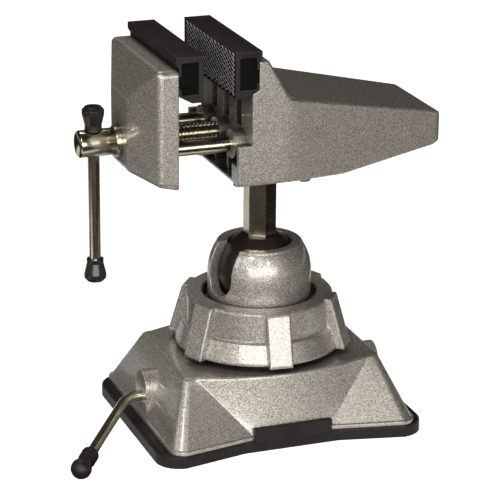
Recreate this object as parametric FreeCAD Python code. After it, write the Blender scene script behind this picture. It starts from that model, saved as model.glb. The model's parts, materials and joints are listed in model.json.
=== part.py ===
import FreeCAD, Part
import math
import os

# A small bench vise on a ball joint that stands on a suction base.
# Frame: the post's upright axis is x = y = 0, z = 0 is the surface the rubber pad
# stands on, +Z is up, +X runs from the movable jaw to the tail, -Y is the lever side.
# Lengths are in millimetres and angles in degrees.

# Working values
OVERRUN = 1.0               # how far every cut runs past the face it opens
RUN_GAP = 0.05              # radial running clearance of every turning or sliding fit
END_GAP = 0.05              # axial running clearance at shoulders
SOFT_GAP = 0.3              # air kept between a soft piece and a piece that moves past it
HALF_SHARE = 0.5
DIAGONAL_SHARE = math.sqrt(HALF_SHARE)
FULL_TURN = 360.0
HEX_SIDES = 6

# Driving sizes of the suction base
PAD_RUBBER_HEIGHT = 6.5     # outer rubber band below the housing
HOUSING_TOP = 36.5          # level of the flat top plate
TOP_INSET = 11.8            # how far the top plate's ends lie inside the foot's ends
TOP_HALF_WIDTH = 33.4
TOP_BULGE = 9.6             # how far the front and back top edges bow outward
FOOT_HALF_LENGTH = 61.8
FOOT_HALF_WIDTH = 53.8
WAIST_HALF_LENGTH = 20.0    # the foot is pinched in over this length, front and back
WAIST_DEPTH = 7.0           # how far it is pinched in
HOUSING_WALL = 3.0
PEDESTAL_RISE = 18.0        # top of the threaded pedestal above the top plate
BOSS_INSET = 0.6            # the shaft bosses end this far inside the foot's ends

# Driving sizes of the ball joint
BALL_RADIUS = 20.5
DOME_THICK = 4.9            # how much larger the dome's radius is than the ball's
DOME_LAND = 5.0             # how much smaller the mouth's radius is than the ball's
DOME_RISE = 15.4            # top of the dome above the ball's centre
SLOT_GAP = 1.5              # sideways room of the post in the dome's slot
SLOT_ANGLE = -162.5         # direction in which the slot lets the post lie down
PLATE_GAP = 3.5             # air between the top plate and the lock ring
RING_LIP = 5.5              # top of the lock ring above the dome's flange
RIB_COUNT = 6
RIB_ANGLE = -96.0           # direction of the first rib of the lock ring
BALL_FLAT_RISE = 3.0        # flat top of the ball above the dome
POST_LENGTH = 36.6          # free length of the post between the ball and the vise body
POST_HALF_FLATS = 7.0       # half the size across flats of the hexagon post

# Driving sizes of the vise; its levels count from the underside of the vise body
JAW_HALF_WIDTH = 36.5
POST_INSERT = 8.0           # how far the post reaches into the body
POST_COVER = 2.0            # thickness of the body's saddle above the post
SADDLE_GAP = 2.4            # air between the saddle and the spindle
PAD_RISE = 47.6             # top of the pads above the spindle's axis
FIXED_PAD_BACK = -14.2
PAD_THICK = 12.2
JAW_GAP = 14.8              # opening between the two pads as pictured
ROD_INSET = 14.8            # sideways distance of a guide rod from the jaw's end
ROD_RADIUS = 3.75
SPINDLE_RADIUS = 5.0
HANDLE_REACH = 30.0         # distance of the handle bar from the movable pad's back
HANDLE_RADIUS = 2.8
TAIL_X = 82.8

# Sizes that follow from the driving ones
WAIST_HALF_WIDTH = FOOT_HALF_WIDTH - WAIST_DEPTH
TOP_HALF_LENGTH = FOOT_HALF_LENGTH - TOP_INSET
BOSS_FACE = FOOT_HALF_LENGTH - BOSS_INSET
PEDESTAL_TOP = HOUSING_TOP + PEDESTAL_RISE
BALL_CENTRE = PEDESTAL_TOP + BALL_RADIUS
DOME_RADIUS = BALL_RADIUS + DOME_THICK
DOME_MOUTH_RADIUS = BALL_RADIUS - DOME_LAND
DOME_TOP = BALL_CENTRE + DOME_RISE
BALL_FLAT = DOME_TOP + BALL_FLAT_RISE
BODY_BOTTOM = BALL_FLAT + POST_LENGTH
SLOT_HALF_WIDTH = POST_HALF_FLATS + SLOT_GAP
RING_BOTTOM = HOUSING_TOP + PLATE_GAP
SADDLE_TOP = POST_INSERT + POST_COVER
ROD_LEVEL = SADDLE_TOP + SADDLE_GAP + SPINDLE_RADIUS
PAD_TOP = ROD_LEVEL + PAD_RISE
ROD_OFFSET = JAW_HALF_WIDTH - ROD_INSET
MOVABLE_PAD_BACK = FIXED_PAD_BACK - PAD_THICK - JAW_GAP - PAD_THICK
HANDLE_X = MOVABLE_PAD_BACK - HANDLE_REACH

os.makedirs("parts", exist_ok=True)


def vec(x, y, z):
    return FreeCAD.Vector(x, y, z)


X_AXIS = vec(1, 0, 0)
Y_AXIS = vec(0, 1, 0)
Z_AXIS = vec(0, 0, 1)
ORIGIN = vec(0, 0, 0)


def box(x_low, x_high, y_low, y_high, z_low, z_high):
    return Part.makeBox(x_high - x_low, y_high - y_low, z_high - z_low, vec(x_low, y_low, z_low))


def rod_x(radius, x_low, x_high, y, z):
    return Part.makeCylinder(radius, x_high - x_low, vec(x_low, y, z), X_AXIS)


def rod_y(radius, y_low, y_high, x, z):
    return Part.makeCylinder(radius, y_high - y_low, vec(x, y_low, z), Y_AXIS)


def rod_z(radius, z_low, z_high, x, y):
    return Part.makeCylinder(radius, z_high - z_low, vec(x, y, z_low), Z_AXIS)


def side_prism(points, y_low, y_high):
    """Outline of (x, z) points drawn out along Y."""
    wire = Part.makePolygon([vec(x, y_low, z) for x, z in points + points[:1]])
    return Part.Face(wire).extrude(vec(0, y_high - y_low, 0))


def plan_prism(points, z_low, z_high):
    """Outline of (x, y) points drawn out along Z."""
    wire = Part.makePolygon([vec(x, y, z_low) for x, y in points + points[:1]])
    return Part.Face(wire).extrude(vec(0, 0, z_high - z_low))


def turned(points, x=0, y=0):
    """Outline of (radius, z) points turned about an upright axis."""
    wire = Part.makePolygon([vec(x + r, y, z) for r, z in points + points[:1]])
    return Part.Face(wire).revolve(vec(x, y, 0), Z_AXIS, FULL_TURN)


def turned_x(points, y, z):
    """Outline of (x, radius) points turned about a line along X."""
    wire = Part.makePolygon([vec(x, y + r, z) for x, r in points + points[:1]])
    return Part.Face(wire).revolve(vec(0, y, z), X_AXIS, FULL_TURN)


def soften(shape, radius, wanted):
    """Rounds the edges that the test picks, leaving all others sharp."""
    picked = [edge for edge in shape.Edges if wanted(edge)]
    return shape.makeFillet(radius, picked)


def spun(shape, degrees):
    copy = shape.copy()
    copy.rotate(ORIGIN, Z_AXIS, degrees)
    return copy


def fused(shapes):
    whole = shapes[0]
    for shape in shapes[1:]:
        whole = whole.fuse(shape)
    return whole.removeSplitter()


def write(shape, name):
    shape.exportStep(os.path.join("parts", name + ".step"))


def write_raised(shape, name):
    """For pieces of the vise, whose levels count from the underside of its body."""
    write(shape.translated(vec(0, 0, BODY_BOTTOM)), name)


# Foot outline shared by the housing, its hollow, its flange and the rubber pad

def outline(z, half_length, half_width, corner, mid_half_length, mid_half_width, bulge):
    """Closed outline with rounded corners and a middle stretch front and back."""
    turn = corner * (1 - DIAGONAL_SHARE)
    x_in = half_length - corner
    y_in = half_width - corner
    front_mid = mid_half_width + bulge
    west_back = vec(-half_length, y_in, z)
    west_front = vec(-half_length, -y_in, z)
    south_west = vec(-x_in, -half_width, z)
    south_west_mid = vec(-half_length + turn, -half_width + turn, z)
    waist_west = vec(-mid_half_length, -mid_half_width, z)
    waist_east = vec(mid_half_length, -mid_half_width, z)
    south_east = vec(x_in, -half_width, z)
    south_east_mid = vec(half_length - turn, -half_width + turn, z)
    east_front = vec(half_length, -y_in, z)
    east_back = vec(half_length, y_in, z)
    north_east_mid = vec(half_length - turn, half_width - turn, z)
    north_east = vec(x_in, half_width, z)
    back_east = vec(mid_half_length, mid_half_width, z)
    back_west = vec(-mid_half_length, mid_half_width, z)
    north_west = vec(-x_in, half_width, z)
    north_west_mid = vec(-half_length + turn, half_width - turn, z)
    edges = [Part.makeLine(west_back, west_front)]
    edges.append(Part.Arc(west_front, south_west_mid, south_west).toShape())
    edges.append(Part.makeLine(south_west, waist_west))
    if bulge:
        edges.append(Part.Arc(waist_west, vec(0, -front_mid, z), waist_east).toShape())
    else:
        edges.append(Part.makeLine(waist_west, waist_east))
    edges.append(Part.makeLine(waist_east, south_east))
    edges.append(Part.Arc(south_east, south_east_mid, east_front).toShape())
    edges.append(Part.makeLine(east_front, east_back))
    edges.append(Part.Arc(east_back, north_east_mid, north_east).toShape())
    edges.append(Part.makeLine(north_east, back_east))
    if bulge:
        edges.append(Part.Arc(back_east, vec(0, front_mid, z), back_west).toShape())
    else:
        edges.append(Part.makeLine(back_east, back_west))
    edges.append(Part.makeLine(back_west, north_west))
    edges.append(Part.Arc(north_west, north_west_mid, west_back).toShape())
    return Part.Wire(edges)


FOOT_CORNER = 6.5
TOP_CORNER = 3.0
TOP_STUB = 2.2              # short straight stretch beside each top corner
TOP_STUB_RISE = 0.5
FLANGE_THICK = 1.8
FLANGE_STEP = 1.0
FLANGE_TOP = PAD_RUBBER_HEIGHT + FLANGE_THICK


def foot_wire(z, grow):
    return outline(z, FOOT_HALF_LENGTH + grow, FOOT_HALF_WIDTH + grow, FOOT_CORNER + grow,
                   WAIST_HALF_LENGTH, WAIST_HALF_WIDTH + grow, 0)


def skirt_wire(z, inset):
    """Outline of the sloping skirt at one level, drawn in by an inset."""
    share = (z - FLANGE_TOP) / (HOUSING_TOP - FLANGE_TOP)

    def between(low, high):
        return low + (high - low) * share

    top_mid_half = TOP_HALF_LENGTH - TOP_CORNER - TOP_STUB
    return outline(z, between(FOOT_HALF_LENGTH, TOP_HALF_LENGTH) - inset,
                   between(FOOT_HALF_WIDTH, TOP_HALF_WIDTH) - inset,
                   between(FOOT_CORNER, TOP_CORNER),
                   between(WAIST_HALF_LENGTH, top_mid_half) - inset * share,
                   between(WAIST_HALF_WIDTH, TOP_HALF_WIDTH + TOP_STUB_RISE) - inset,
                   between(0, TOP_BULGE - TOP_STUB_RISE))


def band(wire, height):
    return Part.Face(wire).extrude(vec(0, 0, height))


# Base housing: a hollow casting, pinched at the foot front and back
TOP_ROUND = 1.0
BOSS_HALF_WIDTH = 8.4
BOSS_CENTRE = 21.1
BOSS_BITE = 2.0             # how far the bosses reach in past the top plate's ends
BOSS_ROOT = TOP_HALF_LENGTH - BOSS_BITE
SHAFT_LEVEL = 16.5
SHAFT_RADIUS = 2.5
PEDESTAL_STEP = 5.1         # how much wider the pedestal is than the dome
PEDESTAL_WALL = 4.5
PEDESTAL_FLOOR = 4.5
SEAT_RECESS = 1.5
SEAT_STEP = 0.2             # how much narrower the ball's seat is than the ball
CORE_HOLE_RADIUS = 7.0
PEDESTAL_RADIUS = DOME_RADIUS + PEDESTAL_STEP
SEAT_RADIUS = BALL_RADIUS - SEAT_STEP

round_in = TOP_ROUND * (1 - DIAGONAL_SHARE)
skirt = Part.makeLoft([foot_wire(FLANGE_TOP, 0), skirt_wire(HOUSING_TOP - TOP_ROUND, 0),
                       skirt_wire(HOUSING_TOP - round_in, round_in),
                       skirt_wire(HOUSING_TOP, TOP_ROUND)], True, True)
flange = band(foot_wire(PAD_RUBBER_HEIGHT, FLANGE_STEP), FLANGE_TOP - PAD_RUBBER_HEIGHT)
hollow = Part.makeLoft([foot_wire(FLANGE_TOP, -HOUSING_WALL),
                        skirt_wire(HOUSING_TOP - HOUSING_WALL, HOUSING_WALL)], True, True)
mouth = band(foot_wire(PAD_RUBBER_HEIGHT - OVERRUN, -HOUSING_WALL),
             FLANGE_TOP + OVERRUN - PAD_RUBBER_HEIGHT)
west_boss = fused([rod_x(BOSS_HALF_WIDTH, -BOSS_FACE, -BOSS_ROOT, 0, BOSS_CENTRE),
                   box(-BOSS_FACE, -BOSS_ROOT, -BOSS_HALF_WIDTH, BOSS_HALF_WIDTH,
                       FLANGE_TOP, BOSS_CENTRE)])
east_boss = west_boss.mirror(ORIGIN, X_AXIS)
pedestal = rod_z(PEDESTAL_RADIUS, HOUSING_TOP - HOUSING_WALL, PEDESTAL_TOP, 0, 0)
pedestal_core = rod_z(PEDESTAL_RADIUS - PEDESTAL_WALL, HOUSING_TOP - HOUSING_WALL - OVERRUN,
                      PEDESTAL_TOP - PEDESTAL_FLOOR, 0, 0)
seat_recess = rod_z(SEAT_RADIUS, PEDESTAL_TOP - SEAT_RECESS, PEDESTAL_TOP + OVERRUN, 0, 0)
core_hole = rod_z(CORE_HOLE_RADIUS, PEDESTAL_TOP - PEDESTAL_FLOOR - OVERRUN, PEDESTAL_TOP, 0, 0)
shaft_bore = rod_x(SHAFT_RADIUS + RUN_GAP, -BOSS_FACE - OVERRUN, BOSS_FACE + OVERRUN,
                   0, SHAFT_LEVEL)
housing = skirt.fuse(flange).cut(hollow).cut(mouth)
housing = fused([housing, west_boss, east_boss, pedestal])
housing = housing.cut(pedestal_core).cut(seat_recess).cut(core_hole).cut(shaft_bore)
write(housing, "base_housing")

# Suction pad: rubber sheet with a thick rim, a release tab and a shallow chamber below
RUBBER_END_MARGIN = 6.0     # how far the rubber reaches past the foot's ends
RUBBER_SIDE_MARGIN = 0.8
RUBBER_CORNER = 12.0
RUBBER_WAIST_HALF_LENGTH = 24.0
RUBBER_WAIST_MARGIN = 1.0
RUBBER_ROUND = 1.6
WEB_TOP = 4.5
CHAMBER_DEPTH = 1.5
CHAMBER_INSET = 2.8         # the chamber's edge lies this far inside the waist
SEAL_INSET = 4.0            # the seal lies this far inside the chamber's edge
SEAL_WIDTH = 1.5
SEAL_DEPTH = 0.9
UPSTAND_THICK = 2.5
TAB_HALF_LENGTH = 19.7
TAB_TOP = 12.4
TAB_GAP = 0.1
TAB_THICK = 2.5
TAB_ROOT_DROP = 1.5         # the tab is rooted this far below the rubber's upper face

rubber_waist = WAIST_HALF_WIDTH + RUBBER_WAIST_MARGIN
chamber_radius = WAIST_HALF_WIDTH - CHAMBER_INSET
seal_radius = chamber_radius - SEAL_INSET
tab_back = WAIST_HALF_WIDTH + TAB_GAP
tab_front = tab_back + TAB_THICK
rubber = band(outline(0, FOOT_HALF_LENGTH + RUBBER_END_MARGIN,
                      FOOT_HALF_WIDTH + RUBBER_SIDE_MARGIN, RUBBER_CORNER,
                      RUBBER_WAIST_HALF_LENGTH, rubber_waist, 0), PAD_RUBBER_HEIGHT)
rubber = soften(rubber, RUBBER_ROUND,
                lambda edge: edge.BoundBox.ZMin > PAD_RUBBER_HEIGHT - RUBBER_ROUND)
pocket = band(foot_wire(WEB_TOP, -HOUSING_WALL - UPSTAND_THICK), PAD_RUBBER_HEIGHT)
upstand = band(foot_wire(PAD_RUBBER_HEIGHT, -HOUSING_WALL), FLANGE_TOP - PAD_RUBBER_HEIGHT)
chamber = rod_z(chamber_radius, -OVERRUN, CHAMBER_DEPTH, 0, 0)
seal = rod_z(seal_radius + SEAL_WIDTH, SEAL_DEPTH, CHAMBER_DEPTH + OVERRUN, 0, 0)
seal = seal.cut(rod_z(seal_radius, 0, CHAMBER_DEPTH + OVERRUN, 0, 0))
seal = seal.common(rod_z(chamber_radius, SEAL_DEPTH, CHAMBER_DEPTH, 0, 0))
tab = box(-TAB_HALF_LENGTH, TAB_HALF_LENGTH, -tab_front, -tab_back, PAD_RUBBER_HEIGHT, TAB_TOP)
tab = tab.cut(skirt.fuse(flange))
lip = box(-TAB_HALF_LENGTH, TAB_HALF_LENGTH, -tab_front, OVERRUN - rubber_waist,
          PAD_RUBBER_HEIGHT - TAB_ROOT_DROP, PAD_RUBBER_HEIGHT)
rubber = fused([rubber, upstand.cut(pocket), tab, lip]).cut(pocket).cut(chamber).fuse(seal)
rubber = rubber.removeSplitter()
write(rubber, "suction_pad")

# Lift plate: steel disc bonded to the middle of the rubber sheet
PLATE_RADIUS = 30.0
PLATE_THICK = 1.5
plate_bottom = WEB_TOP
plate_top = WEB_TOP + PLATE_THICK
write(rod_z(PLATE_RADIUS, plate_bottom, plate_top, 0, 0), "pad_plate")

# Eccentric on the lever shaft and the yoke that it lifts
CAM_RADIUS = 5.5
CAM_THROW = 2.0             # offset of the eccentric from the shaft, half the lift
CAM_HALF_LENGTH = 5.0
YOKE_SLACK = 0.5            # play above and below the eccentric in the yoke's window
YOKE_HALF_LENGTH = 4.0
YOKE_HALF_WIDTH = 11.0
YOKE_TOP_BAR = 4.0
WINDOW_HALF_WIDTH = 7.8
cam_centre = SHAFT_LEVEL - CAM_THROW
window_low = cam_centre - CAM_RADIUS - YOKE_SLACK
window_high = cam_centre + CAM_RADIUS + YOKE_SLACK
cam = rod_x(CAM_RADIUS, -CAM_HALF_LENGTH, CAM_HALF_LENGTH, 0, cam_centre)
cam = cam.cut(rod_x(SHAFT_RADIUS, -CAM_HALF_LENGTH - OVERRUN, CAM_HALF_LENGTH + OVERRUN,
                    0, SHAFT_LEVEL))
CAM_HUB_RADIUS = 4.0
CAM_PIN_RADIUS = 1.0
CAM_PIN_HALF_LENGTH = 4.0
cam_hub = rod_x(CAM_HUB_RADIUS, CAM_HALF_LENGTH, CAM_HALF_LENGTH + CAM_RADIUS, 0, SHAFT_LEVEL)
cam_hub = cam_hub.cut(rod_x(SHAFT_RADIUS, CAM_HALF_LENGTH - OVERRUN,
                            CAM_HALF_LENGTH + CAM_RADIUS + OVERRUN, 0, SHAFT_LEVEL))
pin_x = CAM_HALF_LENGTH + CAM_RADIUS * HALF_SHARE
cam_pin = rod_y(CAM_PIN_RADIUS, -CAM_PIN_HALF_LENGTH, CAM_PIN_HALF_LENGTH, pin_x, SHAFT_LEVEL)
write(fused([cam, cam_hub]).cut(cam_pin), "lift_cam")
write(cam_pin, "cam_pin")
yoke = box(-YOKE_HALF_LENGTH, YOKE_HALF_LENGTH, -YOKE_HALF_WIDTH, YOKE_HALF_WIDTH,
           plate_top, window_high + YOKE_TOP_BAR)
YOKE_ROUND = 3.0
yoke = soften(yoke, YOKE_ROUND, lambda edge: edge.BoundBox.ZMin > window_high
              and edge.BoundBox.YLength < RUN_GAP and edge.BoundBox.XLength > YOKE_HALF_LENGTH)
yoke = yoke.cut(box(-YOKE_HALF_LENGTH - OVERRUN, YOKE_HALF_LENGTH + OVERRUN,
                    -WINDOW_HALF_WIDTH, WINDOW_HALF_WIDTH, window_low, window_high))
write(yoke, "lift_yoke")

# Lever: one bent bar that is also the shaft, with a ball knob and an end clip
BEND_REACH = 7.3            # distance of the bend's corner from the shaft boss
KNOB_REACH = 39.9           # distance of the knob from the bend's corner, along X
KNOB_Y = -57.0
KNOB_DROP = 7.5
BEND_TRIM = 7.0             # how far from the corner the bend starts and ends
SHAFT_STUB = 3.8            # length of the shaft beyond the far boss
CLIP_THICK = 1.5
CLIP_RADIUS = 4.6
GROOVE_DEPTH = 0.5
KNOB_RADIUS = 4.95
KNOB_NECK_RADIUS = 3.6
KNOB_NECK_LENGTH = 9.5
NECK_RIB_RADIUS = 4.2
NECK_RIB_LENGTH = 1.2
NECK_RIB_PITCH = 2.2
NECK_RIB_COUNT = 3
ROD_INSERT = 2.0            # the bar's end stops this far beyond the knob's centre

corner = vec(-BOSS_FACE - BEND_REACH, 0, SHAFT_LEVEL)
knob = corner.add(vec(-KNOB_REACH, KNOB_Y, -KNOB_DROP))
shaft_end = vec(BOSS_FACE + SHAFT_STUB, 0, SHAFT_LEVEL)
arm = knob.sub(corner)
arm_length = arm.Length
arm.normalize()
bend_start = corner.add(vec(BEND_TRIM, 0, 0))
bend_end = corner.add(vec(arm.x, arm.y, arm.z).multiply(BEND_TRIM))
half_angle = arm.getAngle(vec(-1, 0, 0)) * HALF_SHARE
bend_radius = BEND_TRIM / math.tan(half_angle)
inward = vec(arm.x + 1, arm.y, arm.z)
inward.normalize()
centre = corner.add(vec(inward.x, inward.y, inward.z).multiply(bend_radius / math.cos(half_angle)))
to_corner = corner.sub(centre)
to_corner.normalize()
bend_mid = centre.add(to_corner.multiply(bend_radius))
arm_end = corner.add(vec(arm.x, arm.y, arm.z).multiply(arm_length + ROD_INSERT))
path = Part.Wire([Part.makeLine(shaft_end, bend_start),
                  Part.Arc(bend_start, bend_mid, bend_end).toShape(),
                  Part.makeLine(bend_end, arm_end)])
ring_edge = Part.makeCircle(SHAFT_RADIUS, shaft_end, X_AXIS)
lever = path.makePipeShell([Part.Wire([ring_edge])], True, True)
groove = rod_x(SHAFT_RADIUS + OVERRUN, BOSS_FACE + END_GAP, BOSS_FACE + END_GAP + CLIP_THICK,
               0, SHAFT_LEVEL)
groove = groove.cut(rod_x(SHAFT_RADIUS - GROOVE_DEPTH, BOSS_FACE, BOSS_FACE + CLIP_THICK + OVERRUN,
                          0, SHAFT_LEVEL))
lever = lever.cut(groove).cut(cam_pin)
write(lever, "lever_rod")

clip = rod_x(CLIP_RADIUS, BOSS_FACE + END_GAP, BOSS_FACE + END_GAP + CLIP_THICK, 0, SHAFT_LEVEL)
clip = clip.cut(rod_x(SHAFT_RADIUS - GROOVE_DEPTH, BOSS_FACE, BOSS_FACE + CLIP_THICK + OVERRUN,
                      0, SHAFT_LEVEL))
clip = clip.cut(box(BOSS_FACE, BOSS_FACE + CLIP_THICK + OVERRUN,
                    GROOVE_DEPTH - SHAFT_RADIUS, SHAFT_RADIUS - GROOVE_DEPTH,
                    SHAFT_LEVEL - CLIP_RADIUS - OVERRUN, SHAFT_LEVEL))
write(clip, "lever_clip")

neck_start = knob.sub(vec(arm.x, arm.y, arm.z).multiply(KNOB_RADIUS + KNOB_NECK_LENGTH))
grip = Part.makeSphere(KNOB_RADIUS, knob)
grip = grip.fuse(Part.makeCylinder(KNOB_NECK_RADIUS, KNOB_RADIUS + KNOB_NECK_LENGTH,
                                   neck_start, arm))
for index in range(NECK_RIB_COUNT):
    at = neck_start.add(vec(arm.x, arm.y, arm.z).multiply(NECK_RIB_PITCH * (index + HALF_SHARE)))
    grip = grip.fuse(Part.makeCylinder(NECK_RIB_RADIUS, NECK_RIB_LENGTH, at, arm))
sleeve_end = KNOB_RADIUS + KNOB_NECK_LENGTH + OVERRUN
sleeve_start = knob.sub(vec(arm.x, arm.y, arm.z).multiply(sleeve_end))
grip = grip.cut(Part.makeCylinder(SHAFT_RADIUS, sleeve_end + ROD_INSERT, sleeve_start, arm))
write(grip.removeSplitter(), "lever_knob")

# Ball seat: a shallow cup under the ball, let into the pedestal
SOCKET_RADIUS = BALL_RADIUS + RUN_GAP
SEAT_HEIGHT = 11.0
SEAT_BORE_RADIUS = 12.0
seat_bottom = PEDESTAL_TOP - SEAT_RECESS
seat = rod_z(SEAT_RADIUS, seat_bottom, seat_bottom + SEAT_HEIGHT, 0, 0)
seat = seat.cut(rod_z(SEAT_BORE_RADIUS, seat_bottom - OVERRUN,
                      seat_bottom + SEAT_HEIGHT + OVERRUN, 0, 0))
seat = seat.cut(Part.makeSphere(SOCKET_RADIUS, vec(0, 0, BALL_CENTRE)))
write(seat, "ball_seat")

# Socket dome: an upturned cup over the ball with a slot down one side
DOME_GAP = 0.8              # air between the pedestal and the dome
DOME_FLANGE_THICK = 4.2
DOME_FLANGE_STEP = 0.5      # how much narrower the dome's flange is than the pedestal
LIP_WALL = 5.4              # width of the raised lip round the dome's mouth
LIP_ROUND = 0.6
LIP_HEIGHT = 1.6
MOUTH_CHAMFER = 0.8
DOME_BOTTOM = PEDESTAL_TOP + DOME_GAP
DOME_FLANGE_TOP = DOME_BOTTOM + DOME_FLANGE_THICK
DOME_FLANGE_RADIUS = PEDESTAL_RADIUS - DOME_FLANGE_STEP
LIP_OUTER_RADIUS = DOME_MOUTH_RADIUS + LIP_WALL
LIP_FOOT = DOME_TOP - LIP_HEIGHT
dome_base = turned([(0, DOME_BOTTOM), (DOME_FLANGE_RADIUS, DOME_BOTTOM),
                    (DOME_FLANGE_RADIUS, DOME_FLANGE_TOP), (DOME_RADIUS, DOME_FLANGE_TOP),
                    (DOME_RADIUS, BALL_CENTRE), (0, BALL_CENTRE)])
dome_top = Part.makeSphere(DOME_RADIUS, vec(0, 0, BALL_CENTRE))
dome_top = dome_top.common(rod_z(DOME_RADIUS + OVERRUN, BALL_CENTRE, LIP_FOOT, 0, 0))
dome_lip = turned([(0, LIP_FOOT), (LIP_OUTER_RADIUS, LIP_FOOT),
                   (LIP_OUTER_RADIUS, DOME_TOP - LIP_ROUND),
                   (LIP_OUTER_RADIUS - LIP_ROUND, DOME_TOP), (0, DOME_TOP)])
dome = fused([dome_base, dome_top, dome_lip])
slot_tool = box(0, DOME_RADIUS + OVERRUN, -SLOT_HALF_WIDTH, SLOT_HALF_WIDTH,
                BALL_CENTRE, DOME_TOP + OVERRUN)
slot_tool = slot_tool.fuse(rod_x(SLOT_HALF_WIDTH, 0, DOME_RADIUS + OVERRUN, 0, BALL_CENTRE))
dome = dome.cut(spun(slot_tool, SLOT_ANGLE))
bore = rod_z(SOCKET_RADIUS, DOME_BOTTOM - OVERRUN, BALL_CENTRE, 0, 0)
mouth_hole = rod_z(DOME_MOUTH_RADIUS, BALL_CENTRE, DOME_TOP + OVERRUN, 0, 0)
mouth_bevel = Part.makeCone(DOME_MOUTH_RADIUS, DOME_MOUTH_RADIUS + MOUTH_CHAMFER + OVERRUN,
                            MOUTH_CHAMFER + OVERRUN, vec(0, 0, DOME_TOP - MOUTH_CHAMFER), Z_AXIS)
dome = dome.cut(Part.makeSphere(SOCKET_RADIUS, vec(0, 0, BALL_CENTRE)))
dome = dome.cut(bore).cut(mouth_hole).cut(mouth_bevel)
write(dome, "socket_dome")

# Lock ring: an internally threaded ring with six ribs that clamps the dome's flange
RING_BORE = PEDESTAL_RADIUS + RUN_GAP
RING_LIP_UNDERSIDE = DOME_FLANGE_TOP + END_GAP
RING_TOP = DOME_FLANGE_TOP + RING_LIP
MOUTH_GAP = 2.5             # air between the dome and the ring's mouth
MOUTH_ROUND = 0.8
RING_SHOULDER_DROP = 1.0
RING_SHOULDER_WALL = 4.5    # the walls count from the pedestal's radius
RING_UPPER_WALL = 5.4
RING_WAIST_WALL = 5.8
RING_BAND_HEIGHT = 10.3
RING_BAND_WALL = 7.7
RING_BAND_DROP = 0.5
RING_FOOT_WALL = 10.8
RING_FOOT_RISE = 1.2
RIB_HALF_WIDTH = 5.9
RIB_ROOT_WALL = 2.5
RIB_TOP_WALL = 6.9
RIB_SHOULDER_WALL = 7.8
RIB_SHOULDER_DROP = 1.2
RIB_FOOT_WALL = 14.4
RIB_EDGE = 1.0
ring_mouth = DOME_RADIUS + MOUTH_GAP
band_top = RING_BOTTOM + RING_BAND_HEIGHT
rib_top_radius = PEDESTAL_RADIUS + RIB_TOP_WALL
ring_outside = [(RING_FOOT_WALL, RING_BOTTOM), (RING_FOOT_WALL, RING_BOTTOM + RING_FOOT_RISE),
                (RING_BAND_WALL, band_top - RING_BAND_DROP), (RING_WAIST_WALL, band_top),
                (RING_UPPER_WALL, RING_TOP - RING_SHOULDER_DROP), (RING_SHOULDER_WALL, RING_TOP)]
rib_section = [(RIB_ROOT_WALL, RING_BOTTOM), (RIB_FOOT_WALL, RING_BOTTOM),
               (RIB_FOOT_WALL, RING_BOTTOM + RING_FOOT_RISE),
               (RIB_SHOULDER_WALL, RING_TOP - RIB_SHOULDER_DROP),
               (RIB_TOP_WALL, RING_TOP), (RIB_ROOT_WALL, RING_TOP)]
ring_points = [(PEDESTAL_RADIUS + wall, z) for wall, z in ring_outside]
ring = turned([(RING_BORE, RING_BOTTOM)] + ring_points
              + [(ring_mouth + MOUTH_ROUND, RING_TOP), (ring_mouth, RING_TOP - MOUTH_ROUND),
                 (ring_mouth, RING_LIP_UNDERSIDE), (RING_BORE, RING_LIP_UNDERSIDE)])
rib = side_prism([(PEDESTAL_RADIUS + wall, z) for wall, z in rib_section],
                 -RIB_HALF_WIDTH, RIB_HALF_WIDTH)
rib = soften(rib, RIB_EDGE, lambda edge: edge.BoundBox.XMin > rib_top_radius - RIB_EDGE
             and edge.BoundBox.YLength < RIB_EDGE
             and edge.BoundBox.ZLength > RIB_SHOULDER_DROP + RIB_EDGE)
for index in range(RIB_COUNT):
    ring = ring.fuse(spun(rib, RIB_ANGLE + index * FULL_TURN / RIB_COUNT))
write(ring.removeSplitter(), "lock_ring")

# Ball with a stepped bore for the post's spigot and its screw
SPIGOT_RADIUS = 4.5
SPIGOT_DEPTH = 20.4         # depth of the spigot's bore below the ball's flat
SCREW_RADIUS = 3.0
SCREW_PASS_RADIUS = 3.3
SCREW_HEAD_RADIUS = 5.2
SCREW_HEAD_HEIGHT = 4.5
SCREW_LAND = 9.0            # thickness of the ball between the screw's head and the spigot
SCREW_LENGTH = 24.0         # length of the screw above its head
SCREW_SOCKET_DEPTH = 2.5
SCREW_SOCKET_RADIUS = 2.6
SPIGOT_BOTTOM = BALL_FLAT - SPIGOT_DEPTH
SCREW_HEAD_TOP = SPIGOT_BOTTOM - SCREW_LAND
SCREW_HEAD_BOTTOM = SCREW_HEAD_TOP - SCREW_HEAD_HEIGHT
SCREW_TIP = SCREW_HEAD_TOP + SCREW_LENGTH
below_ball = BALL_CENTRE - BALL_RADIUS - OVERRUN
ball = Part.makeSphere(BALL_RADIUS, vec(0, 0, BALL_CENTRE))
ball = ball.common(rod_z(BALL_RADIUS + OVERRUN, below_ball, BALL_FLAT, 0, 0))
ball = ball.cut(rod_z(SPIGOT_RADIUS + RUN_GAP, SPIGOT_BOTTOM, BALL_FLAT + OVERRUN, 0, 0))
ball = ball.cut(rod_z(SCREW_PASS_RADIUS, SCREW_HEAD_TOP - OVERRUN, SPIGOT_BOTTOM + OVERRUN, 0, 0))
ball = ball.cut(rod_z(SCREW_HEAD_RADIUS + RUN_GAP, below_ball, SCREW_HEAD_TOP, 0, 0))
write(ball, "ball")


def hexagon(half_flats, z_low, z_high, x=0, y=0):
    """Upright hexagon bar with two of its flats square to X."""
    radius = half_flats / math.cos(math.pi / HEX_SIDES)
    points = []
    for index in range(HEX_SIDES):
        angle = math.radians((index + HALF_SHARE) * FULL_TURN / HEX_SIDES)
        points.append((x + radius * math.cos(angle), y + radius * math.sin(angle)))
    return plan_prism(points, z_low, z_high)


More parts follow.
